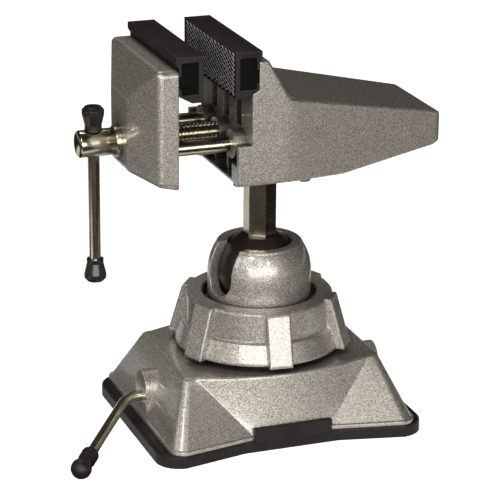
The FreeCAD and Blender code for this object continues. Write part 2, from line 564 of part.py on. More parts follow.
# Post: a hexagon bar with a round spigot that turns in the ball
SADDLE_HALF_LENGTH = 12.5
POST_PIN_DROP = 2.8         # the cross pin lies this far below the post's end
POST_PIN_RADIUS = 2.0
post_pin = rod_x(POST_PIN_RADIUS, -SADDLE_HALF_LENGTH, SADDLE_HALF_LENGTH, 0, POST_INSERT - POST_PIN_DROP)
post = hexagon(POST_HALF_FLATS, BALL_FLAT + END_GAP, BODY_BOTTOM + POST_INSERT)
post = post.fuse(rod_z(SPIGOT_RADIUS, SPIGOT_BOTTOM + END_GAP, BALL_FLAT + OVERRUN, 0, 0))
post = post.cut(rod_z(SCREW_RADIUS, SPIGOT_BOTTOM, SCREW_TIP, 0, 0))
write(post.cut(post_pin.translated(vec(0, 0, BODY_BOTTOM))).removeSplitter(), "post")
write_raised(post_pin, "post_pin")
ball_screw = rod_z(SCREW_RADIUS, SCREW_HEAD_BOTTOM, SCREW_TIP, 0, 0)
ball_screw = ball_screw.fuse(rod_z(SCREW_HEAD_RADIUS, SCREW_HEAD_BOTTOM,
                                   SCREW_HEAD_TOP - END_GAP, 0, 0))
ball_screw = ball_screw.cut(hexagon(SCREW_SOCKET_RADIUS, SCREW_HEAD_BOTTOM - OVERRUN,
                                    SCREW_HEAD_BOTTOM + SCREW_SOCKET_DEPTH))
write(ball_screw.removeSplitter(), "ball_screw")

# Profile of the jaw pads, shared with the jaws that carry them
PAD_HEIGHT = 22.2
PAD_HEEL_RISE = 3.7         # the bottom slopes up this much to where it meets the jaw
PAD_TOE = 5.6               # width of the bottom face beside the grip
PAD_SEAT_GAP = 0.2          # air under the pad's sloping bottom
LIP_ROOT_DROP = 5.5         # the pad's hook starts this far below its top
RAIL_DROP = 9.4             # top of the dovetail rail below the pad's top
RAIL_HEIGHT = 5.6
pad_bottom = PAD_TOP - PAD_HEIGHT
pad_heel = pad_bottom + PAD_HEEL_RISE
pad_slope = PAD_HEEL_RISE / (PAD_THICK - PAD_TOE)
lip_root = PAD_TOP - LIP_ROOT_DROP
rail_high = PAD_TOP - RAIL_DROP
rail_low = rail_high - RAIL_HEIGHT

# Vise body: a tapered hollow casting with the fixed jaw at its front
BODY_WALL = 3.0
BODY_NOSE = -24.2           # front of the side walls below the rods
BODY_STEP = 19.7            # the side walls step back above this level
WALL_REACH = 3.3            # the wall between the side walls stands this far before the pad's back
WALL_THICK = 4.0
JAW_TOP_GAP = 0.1           # air between the jaw's top and the pad's hook
JAW_TOP_THICK = 5.0
SHOULDER_X = 1.8            # foot of the steep slope behind the fixed jaw
SHOULDER_Z = 40.2
TAIL_TOP = 24.6
TAIL_BEVEL_TOP = 10.0
TAIL_BEVEL_WIDTH = 3.8
TAIL_BEVEL_BOTTOM = 8.0
FLOOR_X = 30.0              # the underside rises toward the tail from here
TAIL_TAPER = 10.6           # how much narrower each side is at the tail
BODY_ROUND = 1.6
TAIL_ROUND = 3.0
SHOULDER_ROUND = 6.0        # inside curve at the foot of the steep slope
WAIST_ROUND = 60.0          # where the straight sides begin to taper
ROOF_THICK = 3.7            # the hollow's roof below the foot of the steep slope
TAIL_WALL = 5.8
TAIL_ROOF_THICK = 2.7
TAIL_FLOOR_THICK = 1.4
FLOOR_THICK = 3.2
BOSS_RADIUS = 7.0
BOSS_SHORT = 1.2            # the rod and spindle bosses end this far behind the nose
ROD_BOSS_END = -3.0
NUT_BOSS_END = -8.5
COVER_THICK = 1.2
GROOVE_HALF_WIDTH = 4.0
GROOVE_LOW = 25.0
GROOVE_LAND = 2.45          # what is left of the wall above its grooves
GROOVE_PITCH = 17.0
FRONT_RIB_OFFSET = 9.0
FRONT_RIB_HALF_THICK = 1.2
FRONT_RIB_NOSE = -20.0
FRONT_RIB_TOP = 16.0
WALL_FOOT = 14.5
RAIL_FLARE = 1.1
RAIL_DEPTH = 3.0
RECESS_DEPTH = 1.2
COVER_SCREW_SPOTS = [(-20.4, 7.0), (11.5, 4.5)]     # distance along X, and in from the side wall
SCREW_BOSS_RADIUS = 3.6
SCREW_BOSS_DROP = 0.5       # the screw bosses end this far below the saddle
COVER_SCREW_RADIUS = 1.5
COVER_SCREW_CAP = 2.0       # depth of solid metal above each cover screw

WALL_FACE = FIXED_PAD_BACK - WALL_REACH
JAW_TOP_BACK = FIXED_PAD_BACK + JAW_TOP_THICK
CAVITY_ROOF = SHOULDER_Z - ROOF_THICK
CAVITY_BACK = TAIL_X - TAIL_WALL
TAIL_BEVEL_X = TAIL_X - TAIL_BEVEL_WIDTH
BOSS_NOSE = BODY_NOSE + BOSS_SHORT
SCREW_BOSS_TOP = SADDLE_TOP - SCREW_BOSS_DROP
COVER_SCREW_TOP = SCREW_BOSS_TOP - COVER_SCREW_CAP
shelf = pad_heel - PAD_SEAT_GAP
wall_top = shelf - (FIXED_PAD_BACK - WALL_FACE) * pad_slope
jaw_top = lip_root - JAW_TOP_GAP
tail_half_width = JAW_HALF_WIDTH - TAIL_TAPER
side = side_prism([(BODY_NOSE, 0), (BODY_NOSE, BODY_STEP), (WALL_FACE, BODY_STEP),
                   (WALL_FACE, wall_top), (FIXED_PAD_BACK, shelf), (FIXED_PAD_BACK, jaw_top),
                   (JAW_TOP_BACK, jaw_top), (SHOULDER_X, SHOULDER_Z), (TAIL_X, TAIL_TOP),
                   (TAIL_X, TAIL_BEVEL_TOP), (TAIL_BEVEL_X, TAIL_BEVEL_BOTTOM),
                   (FLOOR_X, 0)], -JAW_HALF_WIDTH, JAW_HALF_WIDTH)
plan = plan_prism([(BODY_NOSE - OVERRUN, -JAW_HALF_WIDTH), (SHOULDER_X, -JAW_HALF_WIDTH),
                   (TAIL_X, -tail_half_width), (TAIL_X, tail_half_width),
                   (SHOULDER_X, JAW_HALF_WIDTH), (BODY_NOSE - OVERRUN, JAW_HALF_WIDTH)],
                  0, PAD_TOP)


def runs_along_y(edge, x):
    return edge.BoundBox.YLength > tail_half_width and abs(edge.BoundBox.Center.x - x) < RUN_GAP


def upright(edge):
    return edge.BoundBox.XLength < RUN_GAP and edge.BoundBox.YLength < RUN_GAP


def side_edge(edge):
    """True for the long edges of the two sides, from the jaw's top round the tail."""
    bounds = edge.BoundBox
    one_side = bounds.YMin > 0 or bounds.YMax < 0
    behind_jaw = bounds.XMax > JAW_TOP_BACK + RUN_GAP or bounds.ZMin < RUN_GAP
    return one_side and behind_jaw and not upright(edge)


side = soften(side, SHOULDER_ROUND, lambda edge: runs_along_y(edge, SHOULDER_X))
side = soften(side, TAIL_ROUND,
              lambda edge: runs_along_y(edge, TAIL_X) or runs_along_y(edge, TAIL_BEVEL_X))
plan = soften(plan, WAIST_ROUND,
              lambda edge: upright(edge) and abs(edge.BoundBox.XMin - SHOULDER_X) < RUN_GAP)
plan = soften(plan, TAIL_ROUND,
              lambda edge: upright(edge) and abs(edge.BoundBox.XMin - TAIL_X) < RUN_GAP)
shell = soften(side.common(plan), BODY_ROUND, side_edge)
inner_half = JAW_HALF_WIDTH - BODY_WALL
inner_tail = tail_half_width - BODY_WALL
wall_back = WALL_FACE + WALL_THICK
cavity_side = side_prism([(wall_back, -OVERRUN), (wall_back, CAVITY_ROOF),
                          (SHOULDER_X, CAVITY_ROOF), (CAVITY_BACK, TAIL_TOP - TAIL_ROOF_THICK),
                          (CAVITY_BACK, TAIL_BEVEL_TOP + TAIL_FLOOR_THICK), (FLOOR_X, FLOOR_THICK),
                          (FLOOR_X, -OVERRUN)], -inner_half, inner_half)
cavity_plan = plan_prism([(BODY_NOSE - OVERRUN, -inner_half), (SHOULDER_X, -inner_half),
                          (CAVITY_BACK, -inner_tail), (CAVITY_BACK, inner_tail),
                          (SHOULDER_X, inner_half), (BODY_NOSE - OVERRUN, inner_half)],
                         -OVERRUN, PAD_TOP)
cavity = cavity_side.common(cavity_plan)
front_mouth = box(BODY_NOSE - OVERRUN, wall_back + OVERRUN, -inner_half, inner_half,
                  -OVERRUN, WALL_FOOT)
nose_gap = box(BODY_NOSE - OVERRUN, WALL_FACE, -inner_half, inner_half,
               -OVERRUN, BODY_STEP + OVERRUN)
body = shell.cut(cavity).cut(front_mouth).cut(nose_gap)
for side_sign in (-1, 0, 1):
    middle = side_sign * GROOVE_PITCH
    body = body.cut(box(WALL_FACE - OVERRUN, wall_back + OVERRUN, middle - GROOVE_HALF_WIDTH,
                        middle + GROOVE_HALF_WIDTH, GROOVE_LOW, wall_top - GROOVE_LAND))
additions = [rod_x(BOSS_RADIUS, BOSS_NOSE, ROD_BOSS_END, -ROD_OFFSET, ROD_LEVEL),
             rod_x(BOSS_RADIUS, BOSS_NOSE, ROD_BOSS_END, ROD_OFFSET, ROD_LEVEL),
             rod_x(BOSS_RADIUS, BOSS_NOSE, NUT_BOSS_END, 0, ROD_LEVEL)]
saddle = box(-SADDLE_HALF_LENGTH, SADDLE_HALF_LENGTH, -inner_half - OVERRUN,
             inner_half + OVERRUN, COVER_THICK, SADDLE_TOP)
additions.append(saddle)
for side_sign in (-1, 1):
    middle = side_sign * FRONT_RIB_OFFSET
    additions.append(box(FRONT_RIB_NOSE, -SADDLE_HALF_LENGTH + OVERRUN,
                         middle - FRONT_RIB_HALF_THICK, middle + FRONT_RIB_HALF_THICK,
                         COVER_THICK, FRONT_RIB_TOP))
screw_spots = []
for spot_x, spot_inset in COVER_SCREW_SPOTS:
    for side_sign in (-1, 1):
        screw_spots.append((spot_x, side_sign * (inner_half - spot_inset)))
for spot_x, spot_y in screw_spots:
    outer_y = math.copysign(inner_half + OVERRUN, spot_y)
    additions.append(rod_z(SCREW_BOSS_RADIUS, COVER_THICK, SCREW_BOSS_TOP, spot_x, spot_y))
    additions.append(box(spot_x - SCREW_BOSS_RADIUS, spot_x + SCREW_BOSS_RADIUS,
                         min(spot_y, outer_y), max(spot_y, outer_y), COVER_THICK, SCREW_BOSS_TOP))


def rail(back, into):
    """Dovetail rail on a jaw face; 'into' is the direction toward the pad."""
    return side_prism([(back - into * OVERRUN, rail_low), (back, rail_low),
                       (back + into * RAIL_DEPTH, rail_low - RAIL_FLARE),
                       (back + into * RAIL_DEPTH, rail_high + RAIL_FLARE),
                       (back, rail_high), (back - into * OVERRUN, rail_high)],
                      RECESS_DEPTH - JAW_HALF_WIDTH, JAW_HALF_WIDTH - RECESS_DEPTH)


additions.append(rail(FIXED_PAD_BACK, -1))
body = body.fuse(additions)
for offset in (-ROD_OFFSET, ROD_OFFSET):
    body = body.cut(rod_x(ROD_RADIUS + RUN_GAP, BOSS_NOSE - OVERRUN, ROD_BOSS_END + OVERRUN,
                          offset, ROD_LEVEL))
body = body.cut(rod_x(SPINDLE_RADIUS + RUN_GAP, BOSS_NOSE - OVERRUN, NUT_BOSS_END + OVERRUN,
                      0, ROD_LEVEL))
body = body.cut(hexagon(POST_HALF_FLATS, COVER_THICK - OVERRUN, POST_INSERT)).cut(post_pin)
for spot_x, spot_y in screw_spots:
    body = body.cut(rod_z(COVER_SCREW_RADIUS, COVER_THICK - OVERRUN, COVER_SCREW_TOP,
                          spot_x, spot_y))
write_raised(body.removeSplitter(), "vise_body")

# Bottom cover of the body and its screws
COVER_GAP = 0.2
COVER_SHORT = 0.6           # the cover ends this far behind the nose
COVER_POST_GAP = 1.4
SCREW_PAN_RADIUS = 2.9
SCREW_PAN_HEIGHT = 2.3
SCREW_PAN_ROUND = 1.0
SLOT_CUT_HALF_WIDTH = 0.4
SLOT_CUT_DEPTH = 0.9
COVER_NOSE = BODY_NOSE + COVER_SHORT
cover = box(COVER_NOSE, FLOOR_X - COVER_GAP, COVER_GAP - inner_half, inner_half - COVER_GAP,
            0, COVER_THICK)
cover_taper = plan_prism([(COVER_NOSE, COVER_GAP - inner_half), (SHOULDER_X, COVER_GAP - inner_half),
                          (CAVITY_BACK, COVER_GAP - inner_tail), (CAVITY_BACK, inner_tail - COVER_GAP),
                          (SHOULDER_X, inner_half - COVER_GAP), (COVER_NOSE, inner_half - COVER_GAP)],
                         0, COVER_THICK)
cover = cover.common(cover_taper)
cover = cover.cut(rod_z(POST_HALF_FLATS + COVER_POST_GAP, -OVERRUN, COVER_THICK + OVERRUN, 0, 0))
cover_screws = []
for spot_x, spot_y in screw_spots:
    cover = cover.cut(rod_z(COVER_SCREW_RADIUS, -OVERRUN, COVER_THICK + OVERRUN,
                            spot_x, spot_y))
    pan = rod_z(SCREW_PAN_RADIUS, -SCREW_PAN_HEIGHT, 0, spot_x, spot_y)
    pan = soften(pan, SCREW_PAN_ROUND, lambda edge: edge.BoundBox.ZMax < -SCREW_PAN_ROUND)
    pan = pan.fuse(rod_z(COVER_SCREW_RADIUS, -SCREW_PAN_ROUND, COVER_SCREW_TOP,
                         spot_x, spot_y))
    slit = box(spot_x - SCREW_PAN_RADIUS - OVERRUN, spot_x + SCREW_PAN_RADIUS + OVERRUN,
               spot_y - SLOT_CUT_HALF_WIDTH, spot_y + SLOT_CUT_HALF_WIDTH,
               -SCREW_PAN_HEIGHT - OVERRUN, SLOT_CUT_DEPTH - SCREW_PAN_HEIGHT)
    cover_screws.append(pan.cut(slit).removeSplitter())
write_raised(cover, "bottom_cover")
write_raised(Part.makeCompound(cover_screws), "cover_screws")

# Jaw pads: hooked plastic covers that slide onto the dovetail rails
PAD_LIP_REACH = 1.3
PAD_LIP_THICK = 3.2
RECESS_BACK = 1.4
RECESS_FRONT = 9.6
RECESS_DROP = 3.0           # top of the end recess below the pad's top
RECESS_HEIGHT = 15.1
PAD_EDGE = 0.5


def jaw_pad(back, into):
    grip_face = back + into * PAD_THICK
    pad = side_prism([(back - into * PAD_LIP_REACH, PAD_TOP), (grip_face, PAD_TOP),
                      (grip_face, pad_bottom), (grip_face - into * PAD_TOE, pad_bottom),
                      (back, pad_heel), (back, lip_root),
                      (back - into * PAD_LIP_REACH, PAD_TOP - PAD_LIP_THICK)],
                     -JAW_HALF_WIDTH, JAW_HALF_WIDTH)
    pad = soften(pad, PAD_EDGE, lambda edge: edge.BoundBox.ZMin > PAD_TOP - PAD_EDGE
                 or edge.BoundBox.ZMax < pad_bottom + PAD_EDGE)
    near_x = back + into * RECESS_BACK
    far_x = back + into * RECESS_FRONT
    recess_high = PAD_TOP - RECESS_DROP
    for y_low, y_high in ((-JAW_HALF_WIDTH - OVERRUN, RECESS_DEPTH - JAW_HALF_WIDTH),
                          (JAW_HALF_WIDTH - RECESS_DEPTH, JAW_HALF_WIDTH + OVERRUN)):
        pad = pad.cut(box(min(near_x, far_x), max(near_x, far_x), y_low, y_high,
                          recess_high - RECESS_HEIGHT, recess_high))
    slot = side_prism([(back - into * OVERRUN, rail_low), (back, rail_low),
                       (back + into * RAIL_DEPTH, rail_low - RAIL_FLARE),
                       (back + into * RAIL_DEPTH, rail_high + RAIL_FLARE),
                       (back, rail_high), (back - into * OVERRUN, rail_high)],
                      -JAW_HALF_WIDTH - OVERRUN, JAW_HALF_WIDTH + OVERRUN)
    return pad.cut(slot)


write_raised(jaw_pad(FIXED_PAD_BACK, -1), "fixed_jaw_pad")
write_raised(jaw_pad(MOVABLE_PAD_BACK, 1), "movable_jaw_pad")

# Movable jaw: a faceted casting, hollow from behind
MOVABLE_TOP_GAP = 0.9       # air between the jaw's top and the pad's hook
MOVABLE_BOTTOM = 1.2
NOSE_DEPTH = 17.5           # these depths count from the movable pad's back
SIDE_FACET_DEPTH = 9.4
HOLLOW_DEPTH = 12.1
SPINDLE_BOSS_DEPTH = 8.2
ROD_HOLD = 11.1             # how deep the guide rods sit in the movable jaw
NOSE_HALF_WIDTH = 12.0
NOSE_TOP = 40.5
NOSE_BOTTOM = 5.2
MOVABLE_WALL = 3.2
MOVABLE_ROUND = 3.0
HOLLOW_NOSE_DROP = 6.4      # the hollow's sloping roof starts this far below the nose's top
HOLLOW_DROP = 2.5
SPINDLE_BOSS_RADIUS = 9.5
HOLLOW_RIB_HALF_THICK = 1.3

NOSE_X = MOVABLE_PAD_BACK - NOSE_DEPTH
SIDE_FACET_X = MOVABLE_PAD_BACK - SIDE_FACET_DEPTH
HOLLOW_X = MOVABLE_PAD_BACK - HOLLOW_DEPTH
SPINDLE_BOSS_FACE = MOVABLE_PAD_BACK - SPINDLE_BOSS_DEPTH
ROD_START = MOVABLE_PAD_BACK - ROD_HOLD
HOLLOW_TOP = NOSE_TOP - HOLLOW_DROP
movable_top = lip_root - MOVABLE_TOP_GAP
wedge_side = side_prism([(MOVABLE_PAD_BACK, MOVABLE_BOTTOM), (MOVABLE_PAD_BACK, movable_top),
                         (SIDE_FACET_X, movable_top), (NOSE_X, NOSE_TOP), (NOSE_X, NOSE_BOTTOM)],
                        -JAW_HALF_WIDTH, JAW_HALF_WIDTH)
wedge_plan = plan_prism([(MOVABLE_PAD_BACK, -JAW_HALF_WIDTH), (MOVABLE_PAD_BACK, JAW_HALF_WIDTH),
                         (SIDE_FACET_X, JAW_HALF_WIDTH), (NOSE_X, NOSE_HALF_WIDTH),
                         (NOSE_X, -NOSE_HALF_WIDTH), (SIDE_FACET_X, -JAW_HALF_WIDTH)],
                        MOVABLE_BOTTOM, movable_top)
wedge = wedge_side.common(wedge_plan)
wedge = soften(wedge, MOVABLE_ROUND, lambda edge: edge.BoundBox.XMin < MOVABLE_PAD_BACK - OVERRUN)
hollow_side = side_prism([(MOVABLE_PAD_BACK + OVERRUN, MOVABLE_BOTTOM + MOVABLE_WALL),
                          (MOVABLE_PAD_BACK + OVERRUN, HOLLOW_TOP), (HOLLOW_X, HOLLOW_TOP),
                          (NOSE_X + MOVABLE_WALL, NOSE_TOP - HOLLOW_NOSE_DROP),
                          (NOSE_X + MOVABLE_WALL, NOSE_BOTTOM + MOVABLE_WALL)],
                         -JAW_HALF_WIDTH, JAW_HALF_WIDTH)
hollow_half = JAW_HALF_WIDTH - MOVABLE_WALL
hollow_plan = plan_prism([(MOVABLE_PAD_BACK + OVERRUN, -hollow_half),
                          (MOVABLE_PAD_BACK + OVERRUN, hollow_half),
                          (SIDE_FACET_X + MOVABLE_WALL, hollow_half),
                          (NOSE_X + MOVABLE_WALL, NOSE_HALF_WIDTH),
                          (NOSE_X + MOVABLE_WALL, -NOSE_HALF_WIDTH),
                          (SIDE_FACET_X + MOVABLE_WALL, -hollow_half)],
                         MOVABLE_BOTTOM, movable_top)
movable = wedge.cut(hollow_side.common(hollow_plan))
inserts = [rod_x(BOSS_RADIUS, NOSE_X, MOVABLE_PAD_BACK, -ROD_OFFSET, ROD_LEVEL),
           rod_x(BOSS_RADIUS, NOSE_X, MOVABLE_PAD_BACK, ROD_OFFSET, ROD_LEVEL),
           rod_x(SPINDLE_BOSS_RADIUS, NOSE_X, SPINDLE_BOSS_FACE, 0, ROD_LEVEL)]
for side_sign in (-1, 1):
    middle = side_sign * ROD_OFFSET
    inserts.append(box(NOSE_X, MOVABLE_PAD_BACK, middle - HOLLOW_RIB_HALF_THICK,
                       middle + HOLLOW_RIB_HALF_THICK, MOVABLE_BOTTOM, HOLLOW_TOP + OVERRUN))
inserts = [piece.common(wedge) for piece in inserts]
movable = movable.fuse(inserts + [rail(MOVABLE_PAD_BACK, 1)])
for offset in (-ROD_OFFSET, ROD_OFFSET):
    movable = movable.cut(rod_x(ROD_RADIUS, ROD_START, MOVABLE_PAD_BACK + OVERRUN,
                                offset, ROD_LEVEL))
movable = movable.cut(rod_x(SPINDLE_RADIUS + RUN_GAP, NOSE_X - OVERRUN,
                            MOVABLE_PAD_BACK + OVERRUN, 0, ROD_LEVEL))
write_raised(movable.removeSplitter(), "movable_jaw")

# Guide rods, fast in the movable jaw and sliding in the body
ROD_CLEAR = 18.2            # room between the rods and the tail with the jaws closed
ROD_CHAMFER = 0.6
ROD_END = CAVITY_BACK - JAW_GAP - ROD_CLEAR


def guide_rod(offset):
    return turned_x([(ROD_START, 0), (ROD_START, ROD_RADIUS), (ROD_END - ROD_CHAMFER, ROD_RADIUS),
                     (ROD_END, ROD_RADIUS - ROD_CHAMFER), (ROD_END, 0)], offset, ROD_LEVEL)


write_raised(guide_rod(-ROD_OFFSET), "guide_rod_near")
write_raised(guide_rod(ROD_OFFSET), "guide_rod_far")

# Spindle with its cross-drilled head, thrust washer and clip
HEAD_BEHIND = 7.9           # length of the head beyond the handle bar's axis
SPINDLE_SHORT = 6.0         # the spindle ends this far before the rods
HEAD_RADIUS = 6.5
HEAD_CHAMFER = 0.8
WASHER_THICK = 3.0
WASHER_RADIUS = 7.4
SPINDLE_CLIP_THICK = 1.2
SPINDLE_CLIP_RADIUS = 8.0
SPINDLE_GROOVE_DEPTH = 0.8
SPINDLE_CHAMFER = 1.0
HEAD_START = HANDLE_X - HEAD_BEHIND
SPINDLE_END = ROD_END - SPINDLE_SHORT
head_end = NOSE_X - WASHER_THICK - END_GAP
clip_start = SPINDLE_BOSS_FACE + END_GAP
clip_end = clip_start + SPINDLE_CLIP_THICK
groove_radius = SPINDLE_RADIUS - SPINDLE_GROOVE_DEPTH
spindle = turned_x([(HEAD_START, 0), (HEAD_START, HEAD_RADIUS - HEAD_CHAMFER),
                    (HEAD_START + HEAD_CHAMFER, HEAD_RADIUS), (head_end, HEAD_RADIUS),
                    (head_end, SPINDLE_RADIUS), (clip_start, SPINDLE_RADIUS),
                    (clip_start, groove_radius), (clip_end, groove_radius),
                    (clip_end, SPINDLE_RADIUS), (SPINDLE_END - SPINDLE_CHAMFER, SPINDLE_RADIUS),
                    (SPINDLE_END, SPINDLE_RADIUS - SPINDLE_CHAMFER), (SPINDLE_END, 0)],
                   0, ROD_LEVEL)
spindle = spindle.cut(rod_z(HANDLE_RADIUS + RUN_GAP, ROD_LEVEL - HEAD_RADIUS - OVERRUN,
                            ROD_LEVEL + HEAD_RADIUS + OVERRUN, HANDLE_X, 0))
write_raised(spindle, "spindle")
washer = rod_x(WASHER_RADIUS, NOSE_X - WASHER_THICK, NOSE_X, 0, ROD_LEVEL)
washer = washer.cut(rod_x(SPINDLE_RADIUS + RUN_GAP, NOSE_X - WASHER_THICK - OVERRUN,
                          NOSE_X + OVERRUN, 0, ROD_LEVEL))
WASHER_ROUND = 0.6
washer = soften(washer, WASHER_ROUND, lambda edge: edge.BoundBox.XMax < NOSE_X - WASHER_ROUND
                and edge.BoundBox.YLength > WASHER_RADIUS + SPINDLE_RADIUS)
write_raised(washer, "spindle_washer")
spindle_clip = rod_x(SPINDLE_CLIP_RADIUS, clip_start, clip_end, 0, ROD_LEVEL)
spindle_clip = spindle_clip.cut(rod_x(groove_radius, clip_start - OVERRUN, clip_end + OVERRUN,
                                      0, ROD_LEVEL))
spindle_clip = spindle_clip.cut(box(clip_start - OVERRUN, clip_end + OVERRUN,
                                    -groove_radius, groove_radius,
                                    ROD_LEVEL - SPINDLE_CLIP_RADIUS - OVERRUN, ROD_LEVEL))
write_raised(spindle_clip, "spindle_clip")

# Handle bar and its two end caps; the bar hangs on its upper cap
CAP_HEIGHT = 11.0
CAP_BORE_DEPTH = 8.0
CAP_NECK_WALL = 1.3         # the cap's wall round the bar
CAP_WAIST_WALL = 1.2
CAP_WAIST = 2.0
CAP_RIM_RADIUS = 5.3
CAP_RIM = 7.4
CAP_RIM_END = 9.4
CAP_END_RADIUS = 3.9
BAR_LENGTH = 80.0
upper_cap_foot = ROD_LEVEL + HEAD_RADIUS + SOFT_GAP
bar_top = upper_cap_foot + CAP_BORE_DEPTH
bar_bottom = bar_top - BAR_LENGTH
lower_cap_foot = bar_bottom + CAP_BORE_DEPTH


def end_cap(foot, way):
    """Flared cap; 'way' is +1 for the upper and -1 for the lower one."""
    cap = turned([(0, foot), (HANDLE_RADIUS + CAP_NECK_WALL, foot),
                  (HANDLE_RADIUS + CAP_WAIST_WALL, foot + way * CAP_WAIST),
                  (CAP_RIM_RADIUS, foot + way * CAP_RIM),
                  (CAP_RIM_RADIUS, foot + way * CAP_RIM_END),
                  (CAP_END_RADIUS, foot + way * CAP_HEIGHT), (0, foot + way * CAP_HEIGHT)],
                 HANDLE_X, 0)
    bore_low = min(foot - way * OVERRUN, foot + way * CAP_BORE_DEPTH)
    bore_high = max(foot - way * OVERRUN, foot + way * CAP_BORE_DEPTH)
    return cap.cut(rod_z(HANDLE_RADIUS, bore_low, bore_high, HANDLE_X, 0))


write_raised(rod_z(HANDLE_RADIUS, bar_bottom, bar_top, HANDLE_X, 0), "handle_bar")
write_raised(end_cap(upper_cap_foot, 1), "handle_top_cap")
write_raised(end_cap(lower_cap_foot, -1), "handle_bottom_cap")
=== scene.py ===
"""Suction base vise: the visual model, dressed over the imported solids."""

import json
import math

import bmesh
import bpy
from bpy.props import FloatProperty, FloatVectorProperty, IntProperty, PointerProperty
from mathutils import Matrix, Vector


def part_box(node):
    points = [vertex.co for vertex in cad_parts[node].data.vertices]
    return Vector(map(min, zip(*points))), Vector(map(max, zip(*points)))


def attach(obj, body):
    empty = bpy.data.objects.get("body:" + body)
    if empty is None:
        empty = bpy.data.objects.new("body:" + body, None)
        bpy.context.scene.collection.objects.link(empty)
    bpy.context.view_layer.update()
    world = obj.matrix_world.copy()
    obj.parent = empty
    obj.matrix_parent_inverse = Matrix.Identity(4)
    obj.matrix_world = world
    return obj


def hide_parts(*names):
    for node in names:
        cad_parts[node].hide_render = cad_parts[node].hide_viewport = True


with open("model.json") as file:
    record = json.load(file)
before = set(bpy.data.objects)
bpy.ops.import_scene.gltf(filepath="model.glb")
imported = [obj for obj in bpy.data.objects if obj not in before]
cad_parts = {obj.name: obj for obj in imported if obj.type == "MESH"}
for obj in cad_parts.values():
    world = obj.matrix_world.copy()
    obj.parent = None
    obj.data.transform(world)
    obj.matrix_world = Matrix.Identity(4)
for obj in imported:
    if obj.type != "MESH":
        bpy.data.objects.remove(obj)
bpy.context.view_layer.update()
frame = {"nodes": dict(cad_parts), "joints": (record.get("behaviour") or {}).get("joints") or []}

bl_info = {
    "name": "Suction base vise",
    "version": (1, 0, 0),
    "blender": (4, 5, 0),
    "location": "3D View > Sidebar > Vise",
    "description": "Finishes and fine shapes of a small vise on a ball joint and suction base",
    "category": "Object",
}

MM = 0.001
# two places closer than this are the same
NEAR = 0.01 * MM
# how far the teeth reach into the pad, and the thread under the spindle's plain end
TOOTH_ROOT, THREAD_OVERLAP = 0.1 * MM, 0.2 * MM


# Sizes and colours

def linear(hex_colour):
    """A colour written as sRGB hex, as linear RGBA."""
    def one(value):
        return value / 12.92 if value <= 0.04045 else ((value + 0.055) / 1.055) ** 2.4
    parts = [int(hex_colour[i:i + 2], 16) / 255 for i in (0, 2, 4)]
    return (one(parts[0]), one(parts[1]), one(parts[2]), 1.0)


def length(name, description, millimetres):
    return FloatProperty(name=name, description=description, default=millimetres * MM,
                         min=0.0, unit="LENGTH", subtype="DISTANCE", precision=5)


def colour(name, description, hex_colour):
    return FloatVectorProperty(name=name, description=description, size=4, subtype="COLOR",
                               min=0.0, max=1.0, default=linear(hex_colour))


class VisePadSizes(bpy.types.PropertyGroup):
    tooth_width: length("Tooth width", "Width of one grip tooth along the jaw", 5.0)
    tooth_height: length("Tooth height", "Height of one grip tooth up the jaw", 2.3)
    tooth_rise: length("Tooth rise", "How far the teeth stand out of the pad", 0.4)
    border: length("Border", "Plain edge around the teeth", 0.35)
    core_start: length("Core start", "From the grip face to the rough core in the pad's end", 2.6)
    core_end: length("Core end", "From the grip face to the far side of that core", 12.2)
    core_drop: length("Core drop", "From the pad's top down to the core", 3.0)
    core_height: length("Core height", "Height of the core", 15.1)
    core_depth: length("Core depth", "How deep the core fills the pad's end", 1.6)
    core_sink: length("Core sink", "How far the core lies behind the pad's end", 0.35)


class ViseSpindleSizes(bpy.types.PropertyGroup):
    pitch: length("Thread pitch", "Travel of the jaw for one turn of the handle", 2.0)
    depth: length("Thread depth", "Depth of the thread's groove", 0.95)
    plain_end: FloatProperty(name="Thread start",
                             description="Where the thread starts behind the jaw",
                             default=-47.5 * MM, unit="LENGTH", subtype="DISTANCE", precision=5)
    sides: IntProperty(name="Sides", description="Faces around the thread", default=40, min=12)


class ViseColours(bpy.types.PropertyGroup):
    enamel: colour("Enamel", "Middle tone of the sparkle enamel on the castings", "A59E94")
    enamel_bright: colour("Bright flake", "Flakes that face the light", "E0DAD0")
    enamel_dark: colour("Dark flake", "Gaps between the flakes", "6F685F")
    # painted shade: a dark colour that the enamel takes in recesses in place of their shade
    recess_shade: colour("Recess shade", "Dark colour painted into recesses as their shade", "2E2B28")
    zinc: colour("Yellow zinc", "Passivated plating of rods, spindle, lever and handle", "D6CFB8")
    zinc_clear: colour("Clear zinc", "Plating of clips, washers and screws", "C9CBCC")
    steel: colour("Steel", "Bare turned steel of the hidden pieces", "B9B7B2")
    rubber: colour("Rubber", "Suction pad and lever knob", "1A1614")
    plastic: colour("Plastic", "Jaw pads and handle caps", "1B1715")
    # painted highlight: the light grey of the tooth flanks stands in for the light they catch
    flank: colour("Tooth flank", "Sloping sides of the grip teeth, rubbed light", "827F7A")
    core: colour("Rough core", "Sawn core that shows in the ends of the pads", "060505")
    ball: colour("Ball", "Darkened casting of the ball", "453C36")


class ViseStageSettings(bpy.types.PropertyGroup):
    floor: colour("Floor", "Plain pale floor", "F4F4F2")
    felt: colour("Felt", "Black cards that the metal mirrors", "2A2219")
    floor_size: length("Floor size", "Side of the square floor", 6000.0)
    focal: FloatProperty(name="Focal length", description="Camera focal length in millimetres",
                         default=170.7, min=10.0)


# Small helpers

def settings():
    return bpy.context.scene


def add_node(tree, kind, inputs=None, **fields):
    """Adds a node, sets its fields, and gives each input a value or a link from a socket."""
    node = tree.nodes.new(kind)
    for name, value in fields.items():
        setattr(node, name, value)
    for name, value in (inputs or {}).items():
        if isinstance(value, bpy.types.NodeSocket):
            tree.links.new(value, node.inputs[name])
        else:
            node.inputs[name].default_value = value
    return node


